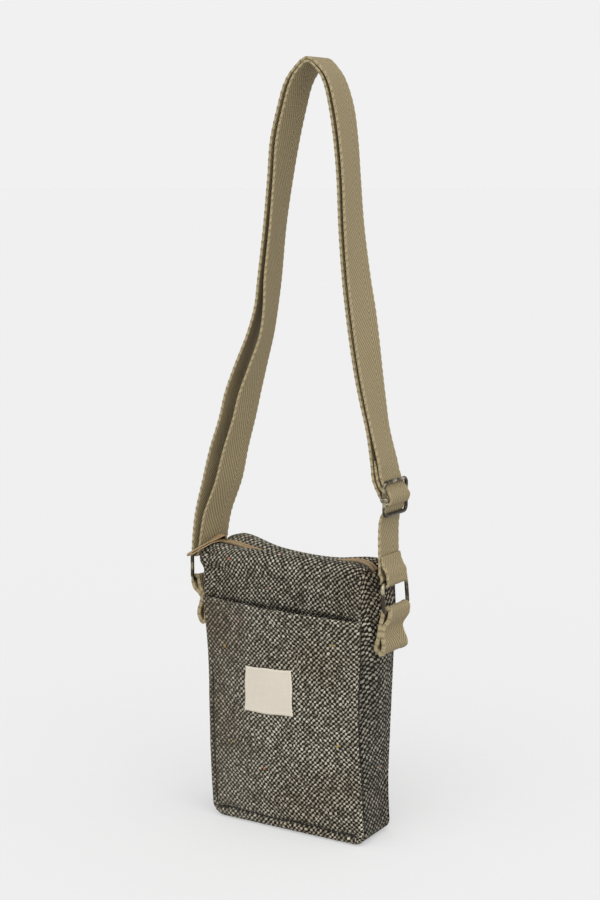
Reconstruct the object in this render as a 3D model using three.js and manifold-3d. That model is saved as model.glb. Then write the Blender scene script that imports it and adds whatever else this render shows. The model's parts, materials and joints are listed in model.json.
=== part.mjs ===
// Small upright cross-body phone bag of tweed, hung by its webbing strap.
// Millimetres, +Z up, -Y the front. Sizes are measured from the centre of the base,
// and the whole bag is then moved so that its origin is where the strap hangs.
import * as THREE from 'three';
import { mergeVertices } from 'three/addons/utils/BufferGeometryUtils.js';
import Module from 'manifold-3d';

// Bag body
const BAG_DEPTH = 38;
const CLOTH = 1.8;
const SEW_GAP = 0.3;
const CORNER_RADIUS = 8;
const PILLOW = { depth: 4.5, height: 186, sideFall: 1.5, lowness: 0.8, roundness: 0.8 };
const ZIP_HALF_WIDTH = 5;

// Roof of a panel: the cloth leaves the wall, leans out, rolls over a crest and dips to the zip
const ROOF = { lean: 0.6, shoulder: 4, rollOut: 5.5, rollLift: 2 };

// Side seams of the front and the back panel, from the base up: the bag leans a little to its left
const SIDE_SEAMS = [
  { z: 0, left: -58.5, right: 60.0, backLeft: -58.5, backRight: 58.6 },
  { z: 12, left: -59.6, right: 58.9, backLeft: -59.6, backRight: 57.6 },
  { z: 35, left: -61.0, right: 57.4, backLeft: -61.0, backRight: 56.8 },
  { z: 70, left: -61.9, right: 54.8, backLeft: -61.9, backRight: 58.0 },
  { z: 100, left: -62.3, right: 54.3, backLeft: -62.3, backRight: 59.3 },
  { z: 122, left: -63.0, right: 55.2, backLeft: -62.6, backRight: 60.2 },
  { z: 150, left: -65.2, right: 55.4, backLeft: -62.8, backRight: 61.4 },
  { z: 167, left: -67.2, right: 54.4, backLeft: -62.2, backRight: 60.8 },
  { z: 190, left: -73.5, right: 51.8, backLeft: -61.0, backRight: 58.0 },
];

// Heights along the top, from the left end (-1) to the right end (1): where each panel leaves its wall and the
// crest that it rolls over, and the zip between the panels
const TOP_EDGE = [
  { across: -1.0, frontStart: 174, front: 184, zip: 184.4, back: 191, backStart: 163 },
  { across: -0.8, frontStart: 166, front: 186, zip: 185.2, back: 195, backStart: 163 },
  { across: -0.4, frontStart: 163, front: 190, zip: 181.0, back: 188, backStart: 163 },
  { across: 0.0, frontStart: 163, front: 190.5, zip: 179.2, back: 185, backStart: 163 },
  { across: 0.4, frontStart: 163, front: 190, zip: 180.4, back: 184.5, backStart: 163 },
  { across: 0.8, frontStart: 163, front: 187.3, zip: 184.0, back: 187.5, backStart: 163 },
  { across: 1.0, frontStart: 167, front: 184.5, zip: 181.4, back: 189, backStart: 163 },
];

// Gusset, the strip round the sides and the base, whose sides bulge out most at mid height
const GUSSET_BULGE = { left: 5, right: 5.0, lowness: 1.8, roundness: 0.9 };

// Front pocket and its label
const POCKET_TOP = { left: 152.2, right: 149.8 };
const POCKET_GAPE = { out: 3.0, depth: 45 };
const LABEL = { x: -10.4, z: 95.4, width: 37.5, height: 30.8, thick: 1.0, turn: 2.8 };

// Zip
const TAPE_THICK = 1.0;
const TAPE_REACH = 0.985;
const COIL = { width: 4.4, height: 2.0, reach: 0.93 };
const SLIDER = { across: -0.94, length: 8, width: 8, thick: 1.4 };
const BAIL = { width: 10, height: 3.2, wire: 1.2 };
const PULLER = { width: 5.5, ply: 0.8, gap: 0.5, droop: 1.8, tipX: -73.2, tipY: -26, tipZ: 180.6, roll: 23 };
const PULLER_SHARES = [0.3, 0.55, 0.8, 0.96];

// Webbing, rings and adjuster
const WEB_WIDTH = 25;
const WEB = 1.8;
const WIRE = 2.6;
const RING = { width: 30, height: 19, corner: 3.5 };
const RING_LEFT = { x: -75, z: 168.3, yaw: 14 };
const RING_RIGHT = { x: 70.8, z: 166.3, yaw: 0 };
const ADJUSTER = { x: 70, z: 230, width: 31, height: 21.5, corner: 3.5, wire: 2.5 };
const ADJUSTER_BAR = { inset: 1.2, eyeWall: 1.1, eyeHeight: 2.8 };
const WRAP_GAP = 0.45;
const WRAP = WIRE / 2 + WRAP_GAP + WEB / 2;

// Tabs: webbing loops sewn flat to the gusset at a waist. Each row is a height with the centres of the
// loop's inner and outer ply, measured out from the middle of the bag.
const TAB_RIGHT = [
  { z: 152, inner: 67.0, outer: 72.0, twist: 0 },
  { z: 147.5, inner: 65.2, outer: 68.4, twist: 0 },
  { z: 144, inner: 64.6, outer: 66.8, twist: 0 },
  { z: 139, inner: 64.5, outer: 67.0, twist: 0 },
  { z: 132, inner: 64.7, outer: 68.6, twist: 0 },
  { z: 127, inner: 65.0, outer: 68.0, twist: 0 },
];
const TAB_LEFT = [
  { z: 155, inner: 72.0, outer: 77.0, twist: 9 },
  { z: 151.5, inner: 70.4, outer: 73.6, twist: 5 },
  { z: 148.5, inner: 69.8, outer: 72.2, twist: 2 },
  { z: 144, inner: 69.6, outer: 73.6, twist: 0 },
  { z: 138.5, inner: 69.6, outer: 75.2, twist: 0 },
  { z: 133.5, inner: 69.8, outer: 74.2, twist: 0 },
];

// Strap loop: at each height the inner ply of the left side and the outer ply of the right side, the spacing
// of the two plies there, and how far the webbing is twisted (degrees)
const STRAP_SIDES = [
  { z: 204, left: -68.2, leftApart: 6.8, leftTwist: 14, right: 66.6, rightApart: 0, rightTwist: 0 },
  { z: 229, left: -58.4, leftApart: 10.4, leftTwist: 12, right: 66.6, rightApart: 0, rightTwist: 0 },
  { z: 252, left: -52.2, leftApart: 10.8, leftTwist: 8, right: 64.2, rightApart: 5.4, rightTwist: -2 },
  { z: 272, left: -45.7, leftApart: 10.8, leftTwist: 4, right: 58.7, rightApart: 2.5, rightTwist: -3 },
  { z: 290, left: -40.8, leftApart: 11.0, leftTwist: 2, right: 55.0, rightApart: 2.4, rightTwist: 1 },
  { z: 308, left: -34.6, leftApart: 11.2, leftTwist: -5, right: 51.7, rightApart: 2.4, rightTwist: 5 },
  { z: 330, left: -27.2, leftApart: 10.0, leftTwist: -12, right: 48.3, rightApart: 2.4, rightTwist: 8 },
  { z: 348, left: -24.2, leftApart: 6.6, leftTwist: -11, right: 45.6, rightApart: 2.4, rightTwist: 8 },
  { z: 366, left: -22.7, leftApart: 4.4, leftTwist: -7, right: 42.7, rightApart: 2.5, rightTwist: 5 },
  { z: 400, left: -19.2, leftApart: 3.3, leftTwist: -8, right: 38.7, rightApart: 2.7, rightTwist: -1 },
  { z: 430, left: -15.8, leftApart: 2.8, leftTwist: -3, right: 36.8, rightApart: 2.9, rightTwist: -3 },
  { z: 455, left: -12.8, leftApart: 2.9, leftTwist: 4, right: 34.9, rightApart: 3.0, rightTwist: -3 },
  { z: 475, left: -7.9, leftApart: 3.2, leftTwist: 4, right: 32.0, rightApart: 2.8, rightTwist: 0 },
  { z: 490, left: -2.6, leftApart: 3.6, leftTwist: 3, right: 26.8, rightApart: 3.2, rightTwist: -1 },
];
const STRAP_TOP = { x: 10.5, z: 505.6, apart: 2.6 };

// End sewn round the right ring: from its cut edge down the outside, with the strap's spacing there
const RING_END = { x: 65.8, z: 192.5 };
const RING_FLAP = [
  { down: 0, inside: 0, apart: 2.3 },
  { down: 7, inside: 0.7, apart: 2.7 },
];

// Strap past the adjuster, measured from the middle of its frame: in front of a cross bar and behind it
const FRAME_PASS = { outsideX: -4, outside: 3, insideX: -1.9, inside: 2.8 };

// End sewn round the adjuster's bar: its tail between the two plies, and where the strap comes down to it
const BAR_TAIL = [
  { x: -5.2, z: 8.55 },
  { x: -7.0, z: 14.75 },
  { x: -8.6, z: 24 },
];
const BAR_ENTRY = { x: -9.2, z: 10.75, from: 190, to: 400 };
const OVER_BAR = { from: -40, to: 40, slack: 0.15 };

// Mesh steps
const PANEL_COLUMNS = 14;
const WALL_ROWS = 11;
const ROOF_ROWS = 7;
const ROOF_SAMPLES = 40;
const POCKET_ROWS = 15;
const LABEL_STEPS = { across: 6, up: 5 };
const GUSSET_ROWS = 9;
const GUSSET_COLUMNS = 10;
const CORNER_STEPS = 4;
const WIRE_SIDES = 8;
const BEND_STEP = THREE.MathUtils.degToRad(16);
const ARC_STEP = 30;
const FINE_STEP = 0.25;
const LONGEST_STEP = 9;
const NUDGE = 0.5;
const SAME_POINT = 0.01;

const HANG = { x: STRAP_TOP.x, z: STRAP_TOP.z - STRAP_TOP.apart - WEB / 2 };

const wasm = await Module();
wasm.setup();

// Smooth value of one column of a table, between its rows
function fromTable(rows, key, column, at) {
  const last = rows.length - 2;
  let i = rows.findIndex((row) => row[key] > at) - 1;
  if (i < 0) i = at < rows[0][key] ? 0 : last;
  i = Math.min(i, last);
  const t = THREE.MathUtils.clamp((at - rows[i][key]) / (rows[i + 1][key] - rows[i][key]), 0, 1);
  const slope = (k) => {
    const a = rows[Math.max(k - 1, 0)];
    const b = rows[Math.min(k + 1, rows.length - 1)];
    return (b[column] - a[column]) / (b[key] - a[key]);
  };
  const span = rows[i + 1][key] - rows[i][key];
  const t2 = t * t;
  const t3 = t2 * t;
  return (2 * t3 - 3 * t2 + 1) * rows[i][column] + (t3 - 2 * t2 + t) * span * slope(i)
    + (3 * t2 - 2 * t3) * rows[i + 1][column] + (t3 - t2) * span * slope(i + 1);
}

// Closed body from its corner points and triangles, turned so that its faces point out
function closedBody(points, triangles) {
  let volume = 0;
  for (const [a, b, c] of triangles) {
    volume += points[a].dot(points[b].clone().cross(points[c]));
  }
  const index = triangles.flatMap(([a, b, c]) => (volume > 0 ? [a, b, c] : [a, c, b]));
  const geometry = new THREE.BufferGeometry();
  geometry.setAttribute('position', new THREE.Float32BufferAttribute(points.flatMap((p) => p.toArray()), 3));
  geometry.setIndex(index);
  return geometry;
}

// Wall between two surfaces, outer and inner, closed along its four edges. Each surface gives the point at
// a place across, from -1 to 1, and at a row.
function wall(columns, rows, outer, inner) {
  const points = [];
  for (const surface of [outer, inner]) {
    for (let j = 0; j <= rows; j += 1) {
      for (let i = 0; i <= columns; i += 1) points.push(surface(2 * i / columns - 1, j));
    }
  }
  const layer = (columns + 1) * (rows + 1);
  const at = (side, i, j) => side * layer + j * (columns + 1) + i;
  const triangles = [];
  const quad = (a, b, c, d) => triangles.push([a, b, c], [a, c, d]);
  for (let j = 0; j < rows; j += 1) {
    for (let i = 0; i < columns; i += 1) {
      quad(at(0, i, j), at(0, i + 1, j), at(0, i + 1, j + 1), at(0, i, j + 1));
      quad(at(1, i, j), at(1, i, j + 1), at(1, i + 1, j + 1), at(1, i + 1, j));
    }
  }
  for (let i = 0; i < columns; i += 1) {
    quad(at(0, i + 1, 0), at(0, i, 0), at(1, i, 0), at(1, i + 1, 0));
    quad(at(0, i, rows), at(0, i + 1, rows), at(1, i + 1, rows), at(1, i, rows));
  }
  for (let j = 0; j < rows; j += 1) {
    quad(at(0, 0, j), at(0, 0, j + 1), at(1, 0, j + 1), at(1, 0, j));
    quad(at(0, columns, j + 1), at(0, columns, j), at(1, columns, j), at(1, columns, j + 1));
  }
  return closedBody(points, triangles);
}

// Body swept through a row of like sections, either a closed loop or capped at both ends
function sweep(sections, isLoop) {
  const sides = sections[0].length;
  const points = sections.flat();
  const triangles = [];
  const steps = isLoop ? sections.length : sections.length - 1;
  for (let k = 0; k < steps; k += 1) {
    const here = k * sides;
    const next = ((k + 1) % sections.length) * sides;
    for (let i = 0; i < sides; i += 1) {
      const j = (i + 1) % sides;
      triangles.push([here + i, here + j, next + j], [here + i, next + j, next + i]);
    }
  }
  if (!isLoop) {
    const end = points.length - sides;
    for (let i = 1; i < sides - 1; i += 1) {
      triangles.push([0, i + 1, i], [end, end + i, end + i + 1]);
    }
  }
  return closedBody(points, triangles);
}

// Thins out a finely sampled curve: a step ends at a bend or at its longest length
function bendSteps(curve, isLoop) {
  const fine = Math.ceil(curve.getLength() / FINE_STEP);
  const points = curve.getSpacedPoints(fine);
  const kept = [points[0]];
  let keptAt = 0;
  const heading = (k) => {
    const a = points[Math.max(k - 1, 0)];
    const b = points[Math.min(k + 1, fine)];
    return Math.atan2(b.z - a.z, b.x - a.x);
  };
  for (let k = 1; k < fine; k += 1) {
    let turn = Math.abs(heading(k) - heading(keptAt));
    if (turn > Math.PI) turn = 2 * Math.PI - turn;
    if (turn > BEND_STEP || points[k].distanceTo(points[keptAt]) > LONGEST_STEP) {
      kept.push(points[k]);
      keptAt = k;
    }
  }
  if (!isLoop) kept.push(points[fine]);
  return kept;
}

// Webbing along a route in the XZ plane. A route point is a vector (x, twist in radians, z).
function webbing(route, isLoop, width, thick) {
  const curve = new THREE.CatmullRomCurve3(route, isLoop, 'centripetal');
  const stops = bendSteps(curve, isLoop);
  const sections = stops.map((stop, k) => {
    const before = isLoop ? stops.at(k - 1) : stops[Math.max(k - 1, 0)];
    const after = isLoop ? stops[(k + 1) % stops.length] : stops[Math.min(k + 1, stops.length - 1)];
    const across = new THREE.Vector3(Math.sin(stop.y), Math.cos(stop.y), 0);
    const level = new THREE.Vector3(Math.cos(stop.y), -Math.sin(stop.y), 0);
    const along = level.multiplyScalar(after.x - before.x).setZ(after.z - before.z).normalize();
    const out = new THREE.Vector3().crossVectors(along, across);
    const centre = new THREE.Vector3(stop.x, 0, stop.z);
    return [[1, 1], [-1, 1], [-1, -1], [1, -1]].map(([a, o]) => centre.clone()
      .addScaledVector(across, a * width / 2).addScaledVector(out, o * thick / 2));
  });
  return sweep(sections, isLoop);
}

// Route points on an arc about a wire, from one angle to another, in degrees from +X towards +Z
function around(x, z, radius, from, to, twist) {
  const count = Math.round(Math.abs(to - from) / ARC_STEP);
  return Array.from({ length: count + 1 }, (_, k) => {
    const angle = THREE.MathUtils.degToRad(from + (to - from) * k / count);
    return new THREE.Vector3(x + radius * Math.cos(angle), twist, z + radius * Math.sin(angle));
  });
}

// Wire bent to a rounded rectangle in the YZ plane, centred on the origin
function wireFrame(width, height, corner, wire) {
  const shape = new THREE.Shape();
  const y = width / 2;
  const z = height / 2;
  shape.moveTo(y, -z + corner);
  shape.lineTo(y, z - corner);
  shape.absarc(y - corner, z - corner, corner, 0, Math.PI / 2);
  shape.lineTo(-y + corner, z);
  shape.absarc(-y + corner, z - corner, corner, Math.PI / 2, Math.PI);
  shape.lineTo(-y, -z + corner);
  shape.absarc(-y + corner, -z + corner, corner, Math.PI, 1.5 * Math.PI);
  shape.lineTo(y - corner, -z);
  shape.absarc(y - corner, -z + corner, corner, 1.5 * Math.PI, 2 * Math.PI);
  const outline = shape.getPoints(CORNER_STEPS);
  const stops = outline.filter((p, k) => k === 0 || p.distanceTo(outline[k - 1]) > SAME_POINT);
  if (stops[0].distanceTo(stops.at(-1)) < SAME_POINT) stops.pop();
  const sections = stops.map((stop, k) => {
    const before = stops.at(k - 1);
    const after = stops[(k + 1) % stops.length];
    const out = new THREE.Vector3(0, after.y - before.y, -(after.x - before.x)).normalize();
    return Array.from({ length: WIRE_SIDES }, (_, i) => {
      const angle = 2 * Math.PI * (i + 0.5) / WIRE_SIDES;
      return new THREE.Vector3(0, stop.x, stop.y).addScaledVector(out, wire / 2 * Math.cos(angle))
        .add(new THREE.Vector3(wire / 2 * Math.sin(angle), 0, 0));
    });
  });
  return sweep(sections, true);
}

// Boolean join of closed bodies
function joined(geometries) {
  const solids = geometries.map((geometry) => {
    const bare = geometry.clone();
    bare.deleteAttribute('normal');
    bare.deleteAttribute('uv');
    const merged = mergeVertices(bare, SAME_POINT);
    return new wasm.Manifold(new wasm.Mesh({
      numProp: 3,
      vertProperties: new Float32Array(merged.attributes.position.array),
      triVerts: new Uint32Array(merged.index.array),
    }));
  });
  const mesh = solids.reduce((whole, solid) => whole.add(solid)).getMesh();
  const geometry = new THREE.BufferGeometry();
  geometry.setAttribute('position', new THREE.Float32BufferAttribute(mesh.vertProperties, 3));
  geometry.setIndex(Array.from(mesh.triVerts));
  return geometry;
}

// Side of the bag at a height and a depth, between the two seams, with the rounded bottom corner
function sideX(side, z, y) {
  const isLeft = side === 'left';
  const low = Math.max(CORNER_RADIUS - z, 0);
  const round = CORNER_RADIUS - Math.sqrt(CORNER_RADIUS ** 2 - low ** 2);
  const front = fromTable(SIDE_SEAMS, 'z', side, z);
  const back = fromTable(SIDE_SEAMS, 'z', isLeft ? 'backLeft' : 'backRight', z);
  const depth = THREE.MathUtils.clamp(y / BAG_DEPTH + 0.5, 0, 1);
  return THREE.MathUtils.lerp(front, back, depth) + (isLeft ? round : -round);
}

function acrossX(across, z, y) {
  return THREE.MathUtils.lerp(sideX('left', z, y), sideX('right', z, y), (across + 1) / 2);
}

// Pillow of a panel: fullest low in the middle, nothing at the seams
function pillow(across, z) {
  const height = THREE.MathUtils.clamp(z / PILLOW.height, 0, 1);
  const swell = Math.sin(Math.PI * height ** PILLOW.lowness) ** PILLOW.roundness;
  return PILLOW.depth * (1 - across ** 2) ** PILLOW.sideFall * swell;
}

// Height of a row of points up a panel, with its first rows round the bottom corner
function climb(row, rows, top) {
  if (row <= CORNER_STEPS) return CORNER_RADIUS * (1 - Math.cos(Math.PI / 2 * row / CORNER_STEPS));
  return THREE.MathUtils.lerp(CORNER_RADIUS, top, (row - CORNER_STEPS) / (rows - CORNER_STEPS));
}

// Section of a panel at one place across, by rows from its bottom edge over the crest to the zip.
// Front is -1 and back is 1. Gives the point and the inward direction of the cloth.
const PANEL_ROWS = WALL_ROWS + ROOF_ROWS;
function panelSection(face, across, row) {
  const wallY = (z) => BAG_DEPTH / 2 + pillow(across, z);
  const start = fromTable(TOP_EDGE, 'across', face < 0 ? 'frontStart' : 'backStart', across);
  const crest = fromTable(TOP_EDGE, 'across', face < 0 ? 'front' : 'back', across);
  const zip = fromTable(TOP_EDGE, 'across', 'zip', across);
  const roof = new THREE.CubicBezierCurve(
    new THREE.Vector2(wallY(start), start),
    new THREE.Vector2(wallY(start) + ROOF.lean, crest - ROOF.shoulder),
    new THREE.Vector2(ZIP_HALF_WIDTH + ROOF.rollOut, crest + ROOF.rollLift),
    new THREE.Vector2(ZIP_HALF_WIDTH + SEW_GAP, zip + TAPE_THICK / 2),
  );
  let place;
  let slope;
  if (row <= WALL_ROWS) {
    const z = climb(row, WALL_ROWS, start);
    place = new THREE.Vector2(wallY(z), z);
    slope = new THREE.Vector2(wallY(z + NUDGE) - wallY(z), NUDGE).normalize();
  } else {
    const share = (row - WALL_ROWS) / ROOF_ROWS;
    place = roof.getPoint(share);
    slope = roof.getTangent(share);
  }
  if (row === 0) slope.set(0, 1);
  if (row === PANEL_ROWS) slope.set(-1, 0);
  const y = place.x;
  const z = place.y;
  const point = new THREE.Vector3(acrossX(across, z, face * y), face * y, z);
  const inward = new THREE.Vector3(0, -face * slope.y, slope.x);
  return { point, inward };
}

function panel(face) {
  const outer = (across, row) => panelSection(face, across, row).point;
  const inner = (across, row) => {
    const { point, inward } = panelSection(face, across, row);
    return point.addScaledVector(inward, CLOTH);
  };
  return wall(PANEL_COLUMNS, PANEL_ROWS, outer, inner);
}

// Height that the gusset's top reaches under the panels' edges and the zip's end, at a depth
function gussetTop(side, y) {
  const across = side === 'left' ? -1 : 1;
  const face = y < 0 ? -1 : 1;
  const zip = fromTable(TOP_EDGE, 'across', 'zip', across);
  if (Math.abs(y) < ZIP_HALF_WIDTH + CLOTH) return zip + TAPE_THICK / 2 - CLOTH - 2 * SEW_GAP;
  const under = Array.from({ length: ROOF_SAMPLES + 1 }, (_, k) => {
    const { point, inward } = panelSection(face, across, WALL_ROWS + ROOF_ROWS * k / ROOF_SAMPLES);
    return point.addScaledVector(inward, CLOTH + 4 * SEW_GAP);
  });
  const reach = Math.abs(y);
  for (let k = under.length - 1; k > 0; k -= 1) {
    const a = Math.abs(under[k].y);
    const b = Math.abs(under[k - 1].y);
    if (reach >= Math.min(a, b) && reach <= Math.max(a, b)) {
      return THREE.MathUtils.lerp(under[k].z, under[k - 1].z, (reach - a) / (b - a));
    }
  }
  return under[0].z;
}

// Gusset: down the left side, along the base and up the right side
function gusset() {
  const half = BAG_DEPTH / 2 - CLOTH - SEW_GAP;
  const stops = [];
  for (let k = 0; k <= GUSSET_ROWS; k += 1) stops.push({ side: 'left', up: 1 - k / GUSSET_ROWS });
  for (let k = 1; k <= CORNER_STEPS; k += 1) stops.push({ side: 'left', bend: k / CORNER_STEPS });
  for (let k = CORNER_STEPS; k >= 1; k -= 1) stops.push({ side: 'right', bend: k / CORNER_STEPS });
  for (let k = 0; k <= GUSSET_ROWS; k += 1) stops.push({ side: 'right', up: k / GUSSET_ROWS });
  const place = (stop, y, depth) => {
    const sign = stop.side === 'left' ? -1 : 1;
    const swell = 1 - (y / half) ** 2;
    if (stop.up !== undefined) {
      const z = THREE.MathUtils.lerp(CORNER_RADIUS, gussetTop(stop.side, y), stop.up);
      const arch = Math.sin(Math.PI * stop.up ** GUSSET_BULGE.lowness) ** GUSSET_BULGE.roundness;
      const bulge = GUSSET_BULGE[stop.side] * swell * arch;
      return new THREE.Vector3(sideX(stop.side, z, y) + sign * (bulge - depth), y, z);
    }
    const angle = stop.bend * Math.PI / 2;
    const centreX = sideX(stop.side, 0, y);
    const reachX = Math.abs(sideX(stop.side, CORNER_RADIUS, y) - centreX) - depth;
    return new THREE.Vector3(centreX + sign * reachX * Math.cos(angle), y,
      CORNER_RADIUS - (CORNER_RADIUS - depth) * Math.sin(angle));
  };
  const at = (depth) => (across, row) => place(stops[row], across * half, depth);
  return wall(GUSSET_COLUMNS, stops.length - 1, at(0), at(CLOTH));
}

// Outer face of the pocket, which lies on the front panel and gapes a little at its opening
function pocketPoint(across, z, raised) {
  const opening = THREE.MathUtils.lerp(POCKET_TOP.left, POCKET_TOP.right, (across + 1) / 2);
  const near = THREE.MathUtils.clamp((z - opening) / POCKET_GAPE.depth + 1, 0, 1);
  const gape = POCKET_GAPE.out * near ** 2 * (1 - across ** 2);
  const panelY = -BAG_DEPTH / 2 - pillow(across, z);
  return new THREE.Vector3(acrossX(across, z, panelY), panelY - SEW_GAP - gape - raised, z);
}

function pocket() {
  const at = (raised) => (across, row) => {
    const opening = THREE.MathUtils.lerp(POCKET_TOP.left, POCKET_TOP.right, (across + 1) / 2);
    return pocketPoint(across, climb(row, POCKET_ROWS, opening), raised);
  };
  return wall(PANEL_COLUMNS, POCKET_ROWS, at(CLOTH), at(0));
}

function label() {
  const turn = THREE.MathUtils.degToRad(LABEL.turn);
  const at = (raised) => (place, row) => {
    const dx = place * LABEL.width / 2;
    const dz = (row / LABEL_STEPS.up - 0.5) * LABEL.height;
    const x = LABEL.x + dx * Math.cos(turn) - dz * Math.sin(turn);
    const z = LABEL.z + dx * Math.sin(turn) + dz * Math.cos(turn);
    const left = sideX('left', z, -BAG_DEPTH / 2);
    const across = 2 * (x - left) / (sideX('right', z, -BAG_DEPTH / 2) - left) - 1;
    return pocketPoint(across, z, CLOTH + SEW_GAP + raised);
  };
  return wall(LABEL_STEPS.across, LABEL_STEPS.up, at(LABEL.thick), at(0));
}

// Point on the zip's centre line
function zipPoint(across) {
  const z = fromTable(TOP_EDGE, 'across', 'zip', across);
  return new THREE.Vector3(acrossX(across, z, 0), 0, z);
}

function zipTape(face) {
  const at = (up) => (across, row) => {
    const p = zipPoint(TAPE_REACH * across);
    const y = row === 0 ? SEW_GAP / 2 : ZIP_HALF_WIDTH;
    return new THREE.Vector3(p.x, face * y, p.z + up);
  };
  return wall(2 * PANEL_COLUMNS, 1, at(TAPE_THICK / 2), at(-TAPE_THICK / 2));
}

function zipCoil() {
  const steps = 2 * PANEL_COLUMNS;
  const sections = Array.from({ length: steps + 1 }, (_, k) => {
    const p = zipPoint(COIL.reach * (2 * k / steps - 1));
    const centreZ = p.z - TAPE_THICK / 2 - SEW_GAP - COIL.height / 2;
    return Array.from({ length: WIRE_SIDES }, (_, i) => {
      const angle = 2 * Math.PI * (i + 0.5) / WIRE_SIDES;
      const y = COIL.width / 2 * Math.cos(angle);
      return new THREE.Vector3(p.x, y, centreZ + COIL.height / 2 * Math.sin(angle));
    });
  });
  return sweep(sections, false);
}

// Slider: a plate on the tapes, with a wire bail that is turned towards the hanging puller
const sliderAt = zipPoint(SLIDER.across);
const plateZ = sliderAt.z + TAPE_THICK / 2 + 2 * SEW_GAP;
const bailZ = plateZ + SLIDER.thick + BAIL.height - BAIL.wire / 2;
const pullHeading = Math.atan2(PULLER.tipY, PULLER.tipX - sliderAt.x);
function slider() {
  const plate = new THREE.BoxGeometry(SLIDER.length, SLIDER.width, SLIDER.thick);
  plate.translate(0, 0, SLIDER.thick / 2);
  const legHeight = BAIL.height - BAIL.wire / 2 + SLIDER.thick / 2;
  const legs = [-1, 1].map((side) => {
    const leg = new THREE.BoxGeometry(BAIL.wire, BAIL.wire, legHeight);
    leg.translate(0, side * (BAIL.width - BAIL.wire) / 2, SLIDER.thick / 2 + legHeight / 2);
    return leg;
  });
  const bar = new THREE.BoxGeometry(BAIL.wire, BAIL.width, BAIL.wire);
  bar.translate(0, 0, SLIDER.thick + BAIL.height - BAIL.wire / 2);
  for (const piece of [...legs, bar]) piece.rotateZ(pullHeading);
  const body = joined([plate, ...legs, bar]);
  body.translate(sliderAt.x, 0, plateZ);
  return body;
}

// Puller: a ribbon looped through the bail, its two plies sewn together towards the hanging tip, where it
// has rolled on its side
function puller() {
  const reach = Math.hypot(PULLER.tipX - sliderAt.x, PULLER.tipY);
  const drop = PULLER.tipZ - bailZ;
  const loop = BAIL.wire * Math.SQRT1_2 + SEW_GAP + PULLER.ply / 2;
  const apart = (PULLER.ply + PULLER.gap) / 2;
  const ply = (share, side) => {
    const slope = Math.atan2(drop * PULLER.droop * share ** (PULLER.droop - 1), reach);
    const x = reach * share - side * apart * Math.sin(slope);
    return new THREE.Vector3(x, 0, drop * share ** PULLER.droop + side * apart * Math.cos(slope));
  };
  const route = [
    ...around(0, 0, loop, 90, 270, 0),
    ...PULLER_SHARES.map((share) => ply(share, -1)),
    new THREE.Vector3(reach, 0, drop),
    ...PULLER_SHARES.toReversed().map((share) => ply(share, 1)),
  ];
  const body = webbing(route, true, PULLER.width, PULLER.ply);
  const points = body.attributes.position;
  for (let k = 0; k < points.count; k += 1) {
    const share = THREE.MathUtils.clamp(points.getX(k) / reach, 0, 1);
    const rolled = THREE.MathUtils.smoothstep(share, 0, PULLER_SHARES[1]);
    const angle = THREE.MathUtils.degToRad(PULLER.roll) * rolled;
    const middle = drop * share ** PULLER.droop;
    const y = points.getY(k);
    const up = points.getZ(k) - middle;
    points.setY(k, y * Math.cos(angle) - up * Math.sin(angle));
    points.setZ(k, middle + y * Math.sin(angle) + up * Math.cos(angle));
  }
  body.rotateZ(pullHeading);
  body.translate(sliderAt.x, 0, bailZ);
  return body;
}

// Ring: wire frame in the YZ plane, yawed with the webbing that it carries
function ring(place) {
  const body = wireFrame(RING.width, RING.height, RING.corner, WIRE);
  body.rotateZ(-THREE.MathUtils.degToRad(place.yaw));
  body.translate(place.x, 0, place.z);
  return body;
}

// Tab: webbing loop round the ring's lower bar, pinched at its waist and open again below it
function tab(place, rows) {
  const out = Math.sign(place.x);
  const barZ = place.z - RING.height / 2;
  const ply = (row, side) => new THREE.Vector3(out * row[side], THREE.MathUtils.degToRad(row.twist), row.z);
  const low = rows.at(-1);
  const lowest = low.z - (low.outer - low.inner) / 2;
  const route = [
    ...around(place.x, barZ, WRAP, 90 - out * 90, 90 + out * 90, THREE.MathUtils.degToRad(place.yaw)),
    ...rows.map((row) => ply(row, 'inner')),
    new THREE.Vector3(out * (low.inner + low.outer) / 2, 0, lowest),
    ...rows.toReversed().map((row) => ply(row, 'outer')),
  ];
  return webbing(route, true, WEB_WIDTH, WEB);
}

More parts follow.
